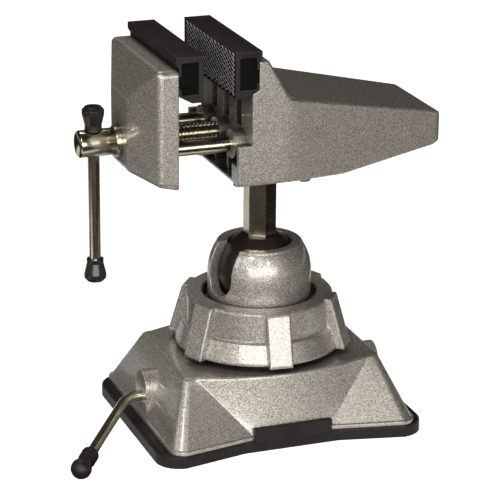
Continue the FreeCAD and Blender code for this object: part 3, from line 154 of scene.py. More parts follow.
def new_material(name):
    """An empty material with its shader and the object's own coordinates."""
    material = bpy.data.materials.new(name)
    material.use_nodes = True
    tree = material.node_tree
    tree.nodes.clear()
    shader = add_node(tree, "ShaderNodeBsdfPrincipled")
    add_node(tree, "ShaderNodeOutputMaterial", {"Surface": shader.outputs["BSDF"]})
    place = add_node(tree, "ShaderNodeTexCoord").outputs["Object"]
    return material, tree, shader, place


def paint_nodes(names, material):
    """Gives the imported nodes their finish."""
    for name in names:
        node = frame["nodes"][name]
        if not node.material_slots:
            raise RuntimeError(name + " has no material slot")
        for slot in node.material_slots:
            slot.material = material


def plain_mesh(source, name):
    """The object with its modifiers applied, as a new plain object; the source is removed."""
    graph = bpy.context.evaluated_depsgraph_get()
    mesh = bpy.data.meshes.new_from_object(source.evaluated_get(graph), depsgraph=graph)
    mesh.name = name
    bpy.data.objects.remove(source)
    piece = bpy.data.objects.new(name, mesh)
    bpy.context.scene.collection.objects.link(piece)
    return piece


def merged_copy(node_name):
    """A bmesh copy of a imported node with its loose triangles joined."""
    mesh = bmesh.new()
    mesh.from_mesh(frame["nodes"][node_name].data)
    bmesh.ops.remove_doubles(mesh, verts=mesh.verts, dist=0.002 * MM)
    return mesh


def mesh_object(mesh, name):
    """Turns a bmesh into a linked object and frees it."""
    data = bpy.data.meshes.new(name)
    mesh.to_mesh(data)
    mesh.free()
    piece = bpy.data.objects.new(name, data)
    bpy.context.scene.collection.objects.link(piece)
    return piece


def shade_by_angle(mesh, degrees):
    """Smooth shading with sharp edges past the angle."""
    for polygon in mesh.polygons:
        polygon.use_smooth = True
    mesh.set_sharp_from_angle(angle=math.radians(degrees))


# Finishes

def sparkle_enamel(name, bare, full):
    """Metallic lacquer sprayed on a pressure die casting: aluminium flakes that lie at slightly
    different angles glitter as fine bright and dark grains, the film rounds every edge, a clear
    coat gives small crisp lights, and the casting's skin below is faintly wavy. Deep recesses get
    painted shade: a dark colour mixed in where ambient occlusion finds them closed in."""
    colours = settings().vise_colours
    material, tree, shader, place = new_material(name)
    # flakes are about 0.1 mm; drawn at 0.3 mm, about the finest grain that shows
    flakes = add_node(tree, "ShaderNodeTexVoronoi", {"Vector": place, "Scale": 1 / (0.3 * MM)})
    level = add_node(tree, "ShaderNodeSeparateColor", {"Color": flakes.outputs["Color"]})
    ramp = add_node(tree, "ShaderNodeValToRGB", {"Fac": level.outputs["Red"]})
    middle = ramp.color_ramp.elements.new(0.45)
    ramp.color_ramp.elements[0].color = colours.enamel_dark
    middle.color = colours.enamel
    ramp.color_ramp.elements[2].color = colours.enamel_bright
    # painted shade: ambient occlusion darkens recesses with the recess-shade colour; below the open
    # share "bare" only that colour shows, and above "full" the enamel shows unshaded
    depth = add_node(tree, "ShaderNodeAmbientOcclusion", {"Distance": 26.0 * MM}, samples=6)
    unshaded_share = add_node(tree, "ShaderNodeMapRange", {"Value": depth.outputs["AO"], "From Min": bare,
                                                    "From Max": full})
    enamel_with_painted_shade = add_node(tree, "ShaderNodeMix", {"Factor": unshaded_share.outputs["Result"],
                                              "A": tuple(colours.recess_shade),
                                              "B": ramp.outputs["Color"]}, data_type="RGBA")
    tree.links.new(enamel_with_painted_shade.outputs["Result"], shader.inputs["Base Color"])
    # the lacquer film rounds the edges over about 0.9 mm
    edge = add_node(tree, "ShaderNodeBevel", {"Radius": 0.9 * MM}, samples=6)
    skin = add_node(tree, "ShaderNodeTexNoise",
                    {"Vector": place, "Scale": 1 / (3.0 * MM), "Detail": 2.0, "Roughness": 0.5})
    wavy = add_node(tree, "ShaderNodeBump", {"Height": skin.outputs["Fac"], "Strength": 0.05,
                                             "Distance": 0.25 * MM,
                                             "Normal": edge.outputs["Normal"]})
    tilt = add_node(tree, "ShaderNodeVectorMath",
                    {0: flakes.outputs["Color"], 1: (0.5, 0.5, 0.5)}, operation="SUBTRACT")
    lean = add_node(tree, "ShaderNodeVectorMath",
                    {0: tilt.outputs["Vector"], 3: 0.16}, operation="SCALE")
    facing = add_node(tree, "ShaderNodeVectorMath",
                      {0: wavy.outputs["Normal"], 1: lean.outputs["Vector"]}, operation="ADD")
    unit = add_node(tree, "ShaderNodeVectorMath", {0: facing.outputs["Vector"]},
                    operation="NORMALIZE")
    tree.links.new(unit.outputs["Vector"], shader.inputs["Normal"])
    tree.links.new(wavy.outputs["Normal"], shader.inputs["Coat Normal"])
    shader.inputs["Metallic"].default_value = 0.85
    shader.inputs["Roughness"].default_value = 0.5
    shader.inputs["Coat Weight"].default_value = 1.0
    shader.inputs["Coat Roughness"].default_value = 0.1
    return material


def plated_steel(name, tint, roughness, streak, cloud, edge_radius=0.3):
    """Drawn steel under a thin zinc plating: mirror-bright along the bar, with faint drawing
    lines and cloudy patches in the passivation's tint."""
    material, tree, shader, place = new_material(name)
    clouds = add_node(tree, "ShaderNodeTexNoise",
                      {"Vector": place, "Scale": 1 / (6.0 * MM), "Detail": 4.0, "Roughness": 0.6})
    tones = add_node(tree, "ShaderNodeValToRGB", {"Fac": clouds.outputs["Fac"]})
    tones.color_ramp.elements[0].position = 0.3
    tones.color_ramp.elements[1].position = 0.7
    tones.color_ramp.elements[0].color = [part * (1 - cloud) for part in tint[:3]] + [1.0]
    tones.color_ramp.elements[1].color = tint
    tree.links.new(tones.outputs["Color"], shader.inputs["Base Color"])
    # drawing lines about 0.3 mm apart
    lines = add_node(tree, "ShaderNodeTexNoise",
                     {"Vector": place, "Scale": 1 / (0.3 * MM), "Detail": 2.0})
    spread = add_node(tree, "ShaderNodeMapRange",
                      {"Value": lines.outputs["Fac"], "From Min": 0.3, "From Max": 0.7,
                       "To Min": roughness * 0.8, "To Max": roughness * 1.25})
    tree.links.new(spread.outputs["Result"], shader.inputs["Roughness"])
    edge = add_node(tree, "ShaderNodeBevel", {"Radius": edge_radius * MM}, samples=4)
    bump = add_node(tree, "ShaderNodeBump", {"Height": lines.outputs["Fac"], "Strength": streak,
                                             "Distance": 0.02 * MM,
                                             "Normal": edge.outputs["Normal"]})
    tree.links.new(bump.outputs["Normal"], shader.inputs["Normal"])
    shader.inputs["Metallic"].default_value = 1.0
    return material


def moulded(name, tint, roughness, grain, edge_radius, depth=0.05, gloss=0.35):
    """Moulded rubber or plastic: black, with the fine matt grain that the mould leaves and
    softly rounded edges that catch a thin line of light."""
    material, tree, shader, place = new_material(name)
    texture = add_node(tree, "ShaderNodeTexNoise",
                       {"Vector": place, "Scale": 1 / (grain * MM), "Detail": 3.0,
                        "Roughness": 0.6})
    dust = add_node(tree, "ShaderNodeTexNoise",
                    {"Vector": place, "Scale": 1 / (9.0 * MM), "Detail": 4.0})
    tones = add_node(tree, "ShaderNodeValToRGB", {"Fac": dust.outputs["Fac"]})
    tones.color_ramp.elements[0].position = 0.35
    tones.color_ramp.elements[1].position = 0.75
    tones.color_ramp.elements[0].color = tint
    tones.color_ramp.elements[1].color = [min(1.0, part * 1.5 + 0.002) for part in tint[:3]] + [1.0]
    tree.links.new(tones.outputs["Color"], shader.inputs["Base Color"])
    spread = add_node(tree, "ShaderNodeMapRange",
                      {"Value": texture.outputs["Fac"], "From Min": 0.3, "From Max": 0.7,
                       "To Min": roughness - 0.05, "To Max": roughness + 0.08})
    tree.links.new(spread.outputs["Result"], shader.inputs["Roughness"])
    edge = add_node(tree, "ShaderNodeBevel", {"Radius": edge_radius * MM}, samples=4)
    bump = add_node(tree, "ShaderNodeBump", {"Height": texture.outputs["Fac"], "Strength": 0.25,
                                             "Distance": depth * MM,
                                             "Normal": edge.outputs["Normal"]})
    tree.links.new(bump.outputs["Normal"], shader.inputs["Normal"])
    shader.inputs["IOR"].default_value = 1.52
    shader.inputs["Specular IOR Level"].default_value = gloss
    return material


def dark_casting(name):
    """Darkened, tumbled die casting of the ball: brown-grey, half gloss, lightly worn."""
    colours = settings().vise_colours
    material, tree, shader, place = new_material(name)
    wear = add_node(tree, "ShaderNodeTexNoise",
                    {"Vector": place, "Scale": 1 / (3.0 * MM), "Detail": 5.0, "Roughness": 0.65})
    tones = add_node(tree, "ShaderNodeValToRGB", {"Fac": wear.outputs["Fac"]})
    tones.color_ramp.elements[0].position = 0.3
    tones.color_ramp.elements[1].position = 0.75
    tones.color_ramp.elements[0].color = [part * 0.75 for part in colours.ball[:3]] + [1.0]
    tones.color_ramp.elements[1].color = colours.ball
    tree.links.new(tones.outputs["Color"], shader.inputs["Base Color"])
    bump = add_node(tree, "ShaderNodeBump", {"Height": wear.outputs["Fac"], "Strength": 0.2,
                                             "Distance": 0.08 * MM})
    tree.links.new(bump.outputs["Normal"], shader.inputs["Normal"])
    shader.inputs["Metallic"].default_value = 0.85
    shader.inputs["Roughness"].default_value = 0.4
    return material


# Node trees for the grip teeth and the thread

def group_tree(name, fields):
    """A geometry tree with its named inputs, its input node and its output node."""
    tree = bpy.data.node_groups.new(name, "GeometryNodeTree")
    tree.interface.new_socket("Geometry", in_out="INPUT", socket_type="NodeSocketGeometry")
    for label, kind in fields:
        tree.interface.new_socket(label, in_out="INPUT", socket_type=kind)
    tree.interface.new_socket("Geometry", in_out="OUTPUT", socket_type="NodeSocketGeometry")
    start = add_node(tree, "NodeGroupInput")
    end = add_node(tree, "NodeGroupOutput")
    return tree, start.outputs, end


def maths(tree, operation, first, second=None):
    """One sum on two values or sockets."""
    values = {0: first} if second is None else {0: first, 1: second}
    return add_node(tree, "ShaderNodeMath", values, operation=operation).outputs["Value"]


def run_tree(piece, tree, values):
    """Puts the tree on the piece with its inputs set by identifier."""
    modifier = piece.modifiers.new(tree.name, "NODES")
    modifier.node_group = tree
    for item in tree.interface.items_tree:
        if item.in_out == "INPUT" and item.name in values:
            modifier[item.identifier] = values[item.name]


def teeth_tree():
    """Rows of four-sided teeth, every second row half a tooth along, laid on the grip face."""
    size = "NodeSocketFloat"
    tree, given, end = group_tree("Grip teeth", [
        ("Face Length", size), ("Face Height", size), ("Tooth Width", size), ("Tooth Height", size),
        ("Tooth Rise", size), ("Border", size), ("Place", "NodeSocketVector"),
        ("Turn", "NodeSocketVector"), ("Finish", "NodeSocketMaterial"),
        ("Top Finish", "NodeSocketMaterial"), ("Flank Highlight Finish", "NodeSocketMaterial")])
    border = maths(tree, "MULTIPLY", given["Border"], 2.0)
    room_long = maths(tree, "SUBTRACT", given["Face Length"], border)
    room_high = maths(tree, "SUBTRACT", given["Face Height"], border)
    columns = maths(tree, "FLOOR", maths(tree, "DIVIDE", room_long, given["Tooth Width"]))
    rows = maths(tree, "FLOOR", maths(tree, "DIVIDE", room_high, given["Tooth Height"]))
    one = add_node(tree, "GeometryNodeMeshCone",
                   {"Vertices": 4, "Radius Top": 0.38, "Radius Bottom": 0.5, "Depth": 1.0})
    dressed = add_node(tree, "GeometryNodeSetMaterial", {"Geometry": one.outputs["Mesh"],
                                                         "Material": given["Top Finish"]})
    # painted highlight: the sloping sides take the flank finish, a light colour that stands in for
    # the light they catch
    painted = add_node(tree, "GeometryNodeSetMaterial", {"Geometry": dressed.outputs["Geometry"],
                                                        "Selection": one.outputs["Side"],
                                                        "Material": given["Flank Highlight Finish"]})
    shape = add_node(tree, "ShaderNodeCombineXYZ", {"X": given["Tooth Width"],
                                                    "Y": given["Tooth Height"],
                                                    "Z": given["Tooth Rise"]})
    fields = []
    for less in (0.0, 1.0):
        across = maths(tree, "SUBTRACT", columns, less)
        up = maths(tree, "SUBTRACT", rows, less)
        wide = maths(tree, "MULTIPLY", maths(tree, "SUBTRACT", across, 1.0), given["Tooth Width"])
        high = maths(tree, "MULTIPLY", maths(tree, "SUBTRACT", up, 1.0), given["Tooth Height"])
        grid = add_node(tree, "GeometryNodeMeshGrid",
                        {"Size X": wide, "Size Y": high, "Vertices X": across, "Vertices Y": up})
        rows_of = add_node(tree, "GeometryNodeInstanceOnPoints",
                           {"Points": grid.outputs["Mesh"], "Instance": painted.outputs["Geometry"],
                            "Scale": shape.outputs["Vector"]})
        fields.append(rows_of.outputs["Instances"])
    both = add_node(tree, "GeometryNodeJoinGeometry")
    for field in fields:
        tree.links.new(field, both.inputs["Geometry"])
    laid = add_node(tree, "GeometryNodeTransform", {"Geometry": both.outputs["Geometry"],
                                                    "Translation": given["Place"],
                                                    "Rotation": given["Turn"]})
    solid = add_node(tree, "GeometryNodeRealizeInstances", {"Geometry": laid.outputs["Geometry"]})
    done = add_node(tree, "GeometryNodeSetMaterial", {"Geometry": given["Geometry"],
                                                      "Material": given["Finish"]})
    whole = add_node(tree, "GeometryNodeJoinGeometry")
    tree.links.new(solid.outputs["Geometry"], whole.inputs["Geometry"])
    tree.links.new(done.outputs["Geometry"], whole.inputs["Geometry"])
    tree.links.new(whole.outputs["Geometry"], end.inputs["Geometry"])
    return tree


def thread_tree():
    """A bar whose skin follows a right-hand thread."""
    size = "NodeSocketFloat"
    tree, given, end = group_tree("Spindle thread", [
        ("Radius", size), ("Start", size), ("Length", size), ("Pitch", size), ("Depth", size),
        ("Level", size), ("Sides", "NodeSocketInt"), ("Finish", "NodeSocketMaterial")])
    rings = maths(tree, "MULTIPLY", maths(tree, "DIVIDE", given["Length"], given["Pitch"]), 8.0)
    bar = add_node(tree, "GeometryNodeMeshCylinder",
                   {"Vertices": given["Sides"], "Side Segments": rings, "Radius": given["Radius"],
                    "Depth": given["Length"]})
    spot = add_node(tree, "ShaderNodeSeparateXYZ",
                    {"Vector": add_node(tree, "GeometryNodeInputPosition").outputs["Position"]})
    along, side, top = spot.outputs["Z"], spot.outputs["X"], spot.outputs["Y"]
    turn = maths(tree, "DIVIDE", maths(tree, "ARCTAN2", top, side), math.tau)
    phase = maths(tree, "SUBTRACT", maths(tree, "DIVIDE", along, given["Pitch"]), turn)
    wave = maths(tree, "PINGPONG", maths(tree, "FRACT", phase), 0.5)
    flank = add_node(tree, "ShaderNodeMapRange", {"Value": wave, "From Min": 0.1, "From Max": 0.4})
    groove = maths(tree, "MULTIPLY", flank.outputs["Result"], given["Depth"])
    share = maths(tree, "SUBTRACT", 1.0, maths(tree, "DIVIDE", groove, given["Radius"]))
    cut = add_node(tree, "ShaderNodeCombineXYZ", {
        "X": along, "Y": maths(tree, "MULTIPLY", side, share),
        "Z": maths(tree, "MULTIPLY", top, share)})
    half = maths(tree, "MULTIPLY", given["Length"], 0.5)
    centre = add_node(tree, "ShaderNodeCombineXYZ", {
        "X": maths(tree, "ADD", given["Start"], half), "Y": 0.0, "Z": given["Level"]})
    moved = add_node(tree, "ShaderNodeVectorMath",
                     {0: cut.outputs["Vector"], 1: centre.outputs["Vector"]}, operation="ADD")
    shaped = add_node(tree, "GeometryNodeSetPosition",
                      {"Geometry": bar.outputs["Mesh"], "Position": moved.outputs["Vector"]})
    whole = add_node(tree, "GeometryNodeJoinGeometry")
    tree.links.new(given["Geometry"], whole.inputs["Geometry"])
    tree.links.new(shaped.outputs["Geometry"], whole.inputs["Geometry"])
    solid = add_node(tree, "GeometryNodeRealizeInstances", {"Geometry": whole.outputs["Geometry"]})
    done = add_node(tree, "GeometryNodeSetMaterial", {"Geometry": solid.outputs["Geometry"],
                                                      "Material": given["Finish"]})
    tree.links.new(done.outputs["Geometry"], end.inputs["Geometry"])
    return tree


# Pieces

class VISE_OT_castings(bpy.types.Operator):
    """Finish the base, ring, dome, body and movable jaw castings"""
    bl_idname = "vise.castings"
    bl_label = "Castings"

    def execute(self, context):
        # both enamels paint shade into recesses by ambient occlusion; the hollow body and jaw take
        # more of it
        paint_nodes(("base_housing", "lock_ring", "socket_dome"),
                    sparkle_enamel("Sparkle enamel with painted shade on die casting", 0.12, 0.36))
        paint_nodes(("vise_body", "movable_jaw"),
                    sparkle_enamel("Sparkle enamel with painted shade on hollow die casting", 0.35, 0.72))
        paint_nodes(("ball",), dark_casting("Darkened tumbled casting"))
        return {"FINISHED"}


class VISE_OT_jaw_pads(bpy.types.Operator):
    """Build the two jaw pads with their grip teeth"""
    bl_idname = "vise.jaw_pads"
    bl_label = "Jaw pads"

    def execute(self, context):
        sizes = context.scene.vise_pads
        colours = context.scene.vise_colours
        plastic = moulded("Moulded nylon of the jaw pads", colours.plastic,
                          0.42, 0.35, 0.35, gloss=0.3)
        core = moulded("Rough sawn end of the pad", colours.core, 0.8, 0.7, 0.1, depth=2.0,
                       gloss=0.08)
        matt = moulded("Matt nylon of the tooth tops", colours.core, 0.75, 0.35, 0.1, gloss=0.08)
        # painted highlight: the flanks get a light grey nylon that looks lit against the near-black
        # tooth tops
        flank = moulded("Highlight-painted nylon of the tooth flanks", colours.flank, 0.4, 0.35, 0.1)
        tree = teeth_tree()
        for node, body, name, way in (("fixed_jaw_pad", "head", "fixed_pad_with_teeth", -1),
                                      ("movable_jaw_pad", "carriage", "movable_pad_with_teeth", 1)):
            low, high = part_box(node)
            grip = low.x if way < 0 else high.x
            mesh = merged_copy(node)
            for corner in mesh.verts:
                if abs(corner.co.x - grip) < NEAR:
                    corner.co.x -= way * sizes.tooth_rise
            add_cores(mesh, sizes, grip, way, low, high)
            pad = mesh_object(mesh, name + "_blank")
            rooted = sizes.tooth_rise + TOOTH_ROOT
            middle = Vector((grip - way * rooted, (low.y + high.y) / 2, (low.z + high.z) / 2))
            run_tree(pad, tree, {
                "Face Length": high.y - low.y, "Face Height": high.z - low.z,
                "Tooth Width": sizes.tooth_width, "Tooth Height": sizes.tooth_height,
                "Tooth Rise": rooted, "Border": sizes.border, "Place": middle,
                "Turn": (math.pi / 2, 0.0, way * math.pi / 2), "Finish": plastic,
                "Top Finish": matt, "Flank Highlight Finish": flank})
            piece = plain_mesh(pad, name)
            shade_by_angle(piece.data, 20)
            drop_empty_slots(piece.data)
            piece.data.materials.append(core)
            core_slot = len(piece.data.materials) - 1
            for face in piece.data.polygons:
                spot = face.center
                if within_core(spot, sizes, grip, way, high):
                    face.material_index = core_slot
            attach(piece, body)
            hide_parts(node)
        return {"FINISHED"}


def drop_empty_slots(mesh):
    """Removes the material slots that hold nothing."""
    held = [material for material in mesh.materials if material]
    places = [held.index(mesh.materials[face.material_index]) for face in mesh.polygons]
    mesh.materials.clear()
    for material in held:
        mesh.materials.append(material)
    mesh.polygons.foreach_set("material_index", places)


def add_cores(mesh, sizes, grip, way, low, high):
    """Fills the two end recesses of a pad with a block, a little behind the pad's end."""
    for side, end in ((-1, low.y), (1, high.y)):
        near, far = grip - way * sizes.core_start, grip - way * sizes.core_end
        top = high.z - sizes.core_drop
        outer = end - side * sizes.core_sink
        inner = outer - side * sizes.core_depth
        size = Vector((abs(near - far), abs(outer - inner), sizes.core_height))
        centre = Vector(((near + far) / 2, (outer + inner) / 2, top - sizes.core_height / 2))
        bmesh.ops.create_cube(mesh, size=1.0,
                              matrix=Matrix.Translation(centre) @ Matrix.Diagonal(size.to_4d()))


def within_core(spot, sizes, grip, way, high):
    """Whether a point lies on the core in either end of the pad."""
    along = (grip - spot.x) * way
    down = high.z - spot.z
    deep = high.y - abs(spot.y)
    return (sizes.core_start - NEAR < along < sizes.core_end + NEAR
            and sizes.core_drop - NEAR < down < sizes.core_drop + sizes.core_height + NEAR
            and sizes.core_sink / 2 < deep < sizes.core_sink + sizes.core_depth + NEAR)


class VISE_OT_spindle(bpy.types.Operator):
    """Build the threaded spindle with its cross-drilled head"""
    bl_idname = "vise.spindle"
    bl_label = "Spindle"

    def execute(self, context):
        sizes = context.scene.vise_spindle
        plating = bpy.data.materials["Yellow zinc on drawn steel"]
        low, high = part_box("spindle")
        level = frame_level("spindle_turn")
        mesh = merged_copy("spindle")
        bmesh.ops.bisect_plane(mesh, geom=mesh.verts[:] + mesh.edges[:] + mesh.faces[:],
                               plane_co=(sizes.plain_end + THREAD_OVERLAP, 0, 0),
                               plane_no=(1, 0, 0), clear_outer=True)
        rim = [edge for edge in mesh.edges if edge.is_boundary]
        bmesh.ops.edgeloop_fill(mesh, edges=rim)
        bmesh.ops.recalc_face_normals(mesh, faces=mesh.faces)
        blank = mesh_object(mesh, "spindle_blank")
        radius = max((corner.co.yz - Vector((0, level))).length for corner in blank.data.vertices
                     if corner.co.x > sizes.plain_end)
        run_tree(blank, thread_tree(), {
            "Radius": radius, "Start": sizes.plain_end, "Length": high.x - sizes.plain_end,
            "Pitch": sizes.pitch, "Depth": sizes.depth, "Level": level, "Sides": sizes.sides,
            "Finish": plating})
        piece = plain_mesh(blank, "threaded_spindle")
        shade_by_angle(piece.data, 32)
        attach(piece, "spindle")
        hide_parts("spindle")
        return {"FINISHED"}


def frame_level(joint_name):
    """Height of a joint's axis."""
    for joint in frame["joints"]:
        if joint["name"] == joint_name:
            return joint["pos_m"][2]
    raise RuntimeError("no joint " + joint_name)


class VISE_OT_plated_steel(bpy.types.Operator):
    """Plate the rods, lever, handle bar, post, clips and screws"""
    bl_idname = "vise.plated_steel"
    bl_label = "Plated steel"

    def execute(self, context):
        colours = context.scene.vise_colours
        yellow = plated_steel("Yellow zinc on drawn steel", colours.zinc, 0.2, 0.12, 0.2)
        rolled = plated_steel("Yellow zinc on rolled hexagon steel", colours.zinc, 0.2, 0.5, 0.4,
                              edge_radius=0.8)
        clear = plated_steel("Clear zinc on stamped steel", colours.zinc_clear, 0.3, 0.15, 0.1)
        bare = plated_steel("Turned bare steel", colours.steel, 0.35, 0.2, 0.12)
        paint_nodes(("guide_rod_near", "guide_rod_far", "handle_bar", "lever_rod",
                     "spindle_washer"), yellow)
        paint_nodes(("post",), rolled)
        paint_nodes(("cover_screws", "bottom_cover", "spindle_clip", "lever_clip"), clear)
        paint_nodes(("lift_yoke", "lift_cam", "cam_pin", "pad_plate", "post_pin", "ball_screw"),
                    bare)
        return {"FINISHED"}


class VISE_OT_soft_parts(bpy.types.Operator):
    """Finish the rubber suction pad and the moulded caps, knob and seat"""
    bl_idname = "vise.soft_parts"
    bl_label = "Rubber and plastic"

    def execute(self, context):
        colours = context.scene.vise_colours
        paint_nodes(("suction_pad",),
                    moulded("Moulded nitrile rubber", colours.rubber, 0.48, 0.5, 0.6, gloss=0.2))
        paint_nodes(("lever_knob",),
                    moulded("Moulded matt plastic", colours.rubber, 0.42, 0.4, 0.4))
        paint_nodes(("handle_top_cap", "handle_bottom_cap", "ball_seat"),
                    moulded("Moulded glossy plastic", colours.plastic, 0.26, 0.4, 0.4, gloss=0.55))
        return {"FINISHED"}


# Stage

# name, azimuth and elevation in degrees, width and height in metres, watts
SOFTBOXES = (
    ("Front strip", -103.0, 12.0, 1.6, 0.42, 14.2),
    ("Front high", -88.0, 29.0, 0.16, 0.16, 1.1),
    ("Left high", -133.0, 43.0, 0.24, 0.2, 4.0),
    ("Left", -172.0, 24.0, 0.5, 0.4, 2.4),
    ("Back", 95.0, 60.0, 0.6, 0.4, 3.2),
)
# left, right, near and far edges of the floor cards in metres
FLOOR_FLAGS = ((-1.5, 1.5, -1.5, -0.13), (0.18, 1.5, -0.13, 1.5), (-1.5, -0.42, -0.13, 1.5),
               (-0.42, 0.18, 0.38, 1.5), (-0.42, -0.075, 0.05, 0.21),
               (-0.24, -0.075, -0.13, 0.05))
# the softboxes stand this far from the object's middle, in metres
LAMP_DISTANCE = 1.25
LAMP_MIDDLE = (0.0, 0.0, 0.09)
# black tent above the white horizon, in metres
TENT_FOOT, TENT_HEIGHT = 0.13, 1.5
TENT_RADIUS_LOW, TENT_RADIUS_TOP = 1.7, 1.5
CARD_HEIGHT = 2.0 * MM
# glow of the floor to the eye and to the metal, and light of the world on the object
FLOOR_SEEN, FLOOR_MIRRORED, WORLD_LIGHT = 0.7, 0.15, 0.2
# camera place in metres, and its turn, dip and roll in degrees
CAMERA_PLACE = (-0.3845, -1.0219, 0.4669)
CAMERA_TURN, CAMERA_DIP, CAMERA_ROLL = -20.38, 19.29, 0.43


class VISE_OT_stage(bpy.types.Operator):
    """Lay the floor, hang the lamps and set the camera"""
    bl_idname = "vise.stage"
    bl_label = "Stage"

    def execute(self, context):
        scene = context.scene
        stage = scene.vise_stage
        scene.view_settings.view_transform = "Standard"
        set_camera(scene, stage.focal)
        lay_floor(stage)
        set_world(scene)
        hang_flags(stage)
        for name, around, up, width, height, power in SOFTBOXES:
            soft_lamp(name, around, up, width, height, power)
        return {"FINISHED"}


def set_camera(scene, focal):
    """The camera at the photograph's viewing angle."""
    turn, dip, roll = (math.radians(angle) for angle in (CAMERA_TURN, CAMERA_DIP, CAMERA_ROLL))
    right = Vector((math.cos(turn), math.sin(turn), 0.0))
    ahead = Vector((-math.sin(turn) * math.cos(dip), math.cos(turn) * math.cos(dip),
                    -math.sin(dip)))
    up = right.cross(ahead)
    rolled_right = right * math.cos(roll) + up * math.sin(roll)
    rolled_up = up * math.cos(roll) - right * math.sin(roll)
    camera = bpy.data.objects.new("Camera", bpy.data.cameras.new("Camera"))
    camera.data.sensor_width = 36.0
    camera.data.lens = focal
    camera.data.clip_start = 0.05
    camera.data.clip_end = 30.0
    turned = Matrix((rolled_right, rolled_up, -ahead)).transposed().to_4x4()
    camera.matrix_world = Matrix.Translation(CAMERA_PLACE) @ turned
    scene.collection.objects.link(camera)
    scene.camera = camera


def lay_floor(stage):
    """A pale floor that keeps the shadow and goes white toward the camera."""
    mesh = bmesh.new()
    bmesh.ops.create_grid(mesh, x_segments=1, y_segments=1, size=stage.floor_size / 2)
    floor = mesh_object(mesh, "floor")
    material = bpy.data.materials.new("Pale studio floor")
    material.use_nodes = True
    tree = material.node_tree
    tree.nodes.clear()
    matt = add_node(tree, "ShaderNodeBsdfDiffuse", {"Color": tuple(stage.floor)})
    # the lamps leave the floor pale, and this makes it white to the eye and nearly so in the metal
    path = add_node(tree, "ShaderNodeLightPath").outputs
    mirrored = maths(tree, "MAXIMUM", path["Is Glossy Ray"], path["Is Transmission Ray"])
    seen = maths(tree, "ADD", maths(tree, "MULTIPLY", path["Is Camera Ray"], FLOOR_SEEN),
                 maths(tree, "MULTIPLY", mirrored, FLOOR_MIRRORED))
    glow = add_node(tree, "ShaderNodeEmission", {"Strength": seen})
    both = add_node(tree, "ShaderNodeAddShader",
                    {0: matt.outputs["BSDF"], 1: glow.outputs["Emission"]})
    add_node(tree, "ShaderNodeOutputMaterial", {"Surface": both.outputs["Shader"]})
    floor.data.materials.append(material)


def seen_directly(tree):
    """1 for rays from the camera, a reflection or through glass, otherwise 0."""
    path = add_node(tree, "ShaderNodeLightPath").outputs
    mirrored = maths(tree, "MAXIMUM", path["Is Camera Ray"], path["Is Glossy Ray"])
    return maths(tree, "MAXIMUM", mirrored, path["Is Transmission Ray"])


def set_world(scene):
    """White behind the object, and a plain even light on it."""
    world = bpy.data.worlds.new("White studio")
    world.use_nodes = True
    tree = world.node_tree
    tree.nodes.clear()
    strength = add_node(tree, "ShaderNodeMapRange", {"Value": seen_directly(tree),
                                                     "To Min": WORLD_LIGHT, "To Max": 1.0})
    light = add_node(tree, "ShaderNodeBackground", {"Strength": strength.outputs["Result"]})
    add_node(tree, "ShaderNodeOutputWorld", {"Surface": light.outputs["Background"]})
    scene.world = world


def hang_flags(stage):
    """Black studio cards, seen by reflections alone: a ring and roof above the white horizon, and
    cards on the floor around the object, which give the metal its dark sides."""
    felt = bpy.data.materials.new("Black studio felt")
    felt.use_nodes = True
    felt.node_tree.nodes.clear()
    dull = add_node(felt.node_tree, "ShaderNodeBsdfDiffuse", {"Color": tuple(stage.felt)})
    add_node(felt.node_tree, "ShaderNodeOutputMaterial", {"Surface": dull.outputs["BSDF"]})
    tent = bmesh.new()
    bmesh.ops.create_cone(tent, cap_ends=True, segments=48, radius1=TENT_RADIUS_LOW,
                          radius2=TENT_RADIUS_TOP, depth=TENT_HEIGHT,
                          matrix=Matrix.Translation((0.0, 0.0, TENT_FOOT + TENT_HEIGHT / 2)))
    bmesh.ops.delete(tent, geom=[face for face in tent.faces if face.normal.z < -0.9],
                     context="FACES")
    cards = bmesh.new()
    for left, right, near, far in FLOOR_FLAGS:
        corners = [cards.verts.new((x, y, CARD_HEIGHT)) for x, y in
                   ((left, near), (right, near), (right, far), (left, far))]
        cards.faces.new(corners)
    for mesh, name in ((tent, "flag_tent"), (cards, "flag_cards")):
        flag = mesh_object(mesh, name)
        flag.data.materials.append(felt)
        flag.visible_camera = flag.visible_diffuse = flag.visible_transmission = False
        flag.visible_shadow = False


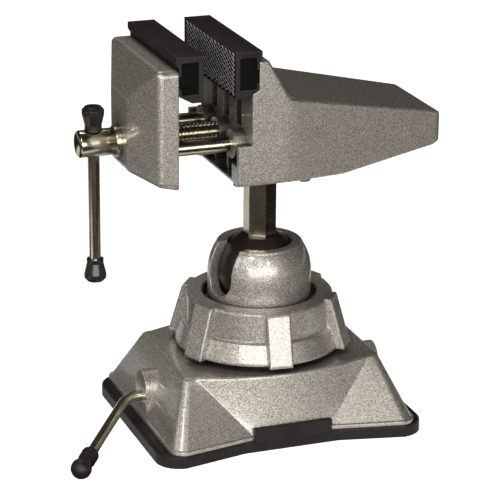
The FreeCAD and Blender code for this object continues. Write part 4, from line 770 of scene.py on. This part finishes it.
def soft_lamp(name, around, up, width, height, power):
    """A softbox that faces the object, placed by its direction from it."""
    turn, rise = math.radians(around), math.radians(up)
    way = Vector((math.cos(rise) * math.cos(turn), math.cos(rise) * math.sin(turn), math.sin(rise)))
    lamp = bpy.data.lights.new(name, "AREA")
    lamp.shape = "RECTANGLE"
    lamp.size = width
    lamp.size_y = height
    lamp.energy = power
    holder = bpy.data.objects.new(name, lamp)
    holder.location = Vector(LAMP_MIDDLE) + way * LAMP_DISTANCE
    holder.rotation_mode = "QUATERNION"
    holder.rotation_quaternion = (-way).to_track_quat("-Z", "Y")
    bpy.context.scene.collection.objects.link(holder)


class VISE_PT_panel(bpy.types.Panel):
    """Lists the vise's pieces and their sizes"""
    bl_idname = "VISE_PT_panel"
    bl_label = "Suction base vise"
    bl_space_type = "VIEW_3D"
    bl_region_type = "UI"
    bl_category = "Vise"

    def draw(self, context):
        scene = context.scene
        for group in (scene.vise_pads, scene.vise_spindle, scene.vise_colours, scene.vise_stage):
            box = self.layout.box()
            for name in group.bl_rna.properties.keys():
                if name not in ("name", "rna_type"):
                    box.prop(group, name)
        for operator in OPERATORS:
            self.layout.operator(operator.bl_idname)


GROUPS = (("vise_pads", VisePadSizes), ("vise_spindle", ViseSpindleSizes),
          ("vise_colours", ViseColours), ("vise_stage", ViseStageSettings))
OPERATORS = (VISE_OT_castings, VISE_OT_plated_steel, VISE_OT_soft_parts, VISE_OT_jaw_pads,
             VISE_OT_spindle, VISE_OT_stage)


def register():
    for name, group in GROUPS:
        bpy.utils.register_class(group)
        setattr(bpy.types.Scene, name, PointerProperty(type=group))
    for kind in OPERATORS + (VISE_PT_panel,):
        bpy.utils.register_class(kind)


def unregister():
    for kind in reversed(OPERATORS + (VISE_PT_panel,)):
        bpy.utils.unregister_class(kind)
    for name, group in reversed(GROUPS):
        delattr(bpy.types.Scene, name)
        bpy.utils.unregister_class(group)


def main():
    register()
    bpy.ops.vise.castings()
    bpy.ops.vise.plated_steel()
    bpy.ops.vise.soft_parts()
    bpy.ops.vise.jaw_pads()
    bpy.ops.vise.spindle()
    bpy.ops.vise.stage()


if __name__ == "__main__":
    main()
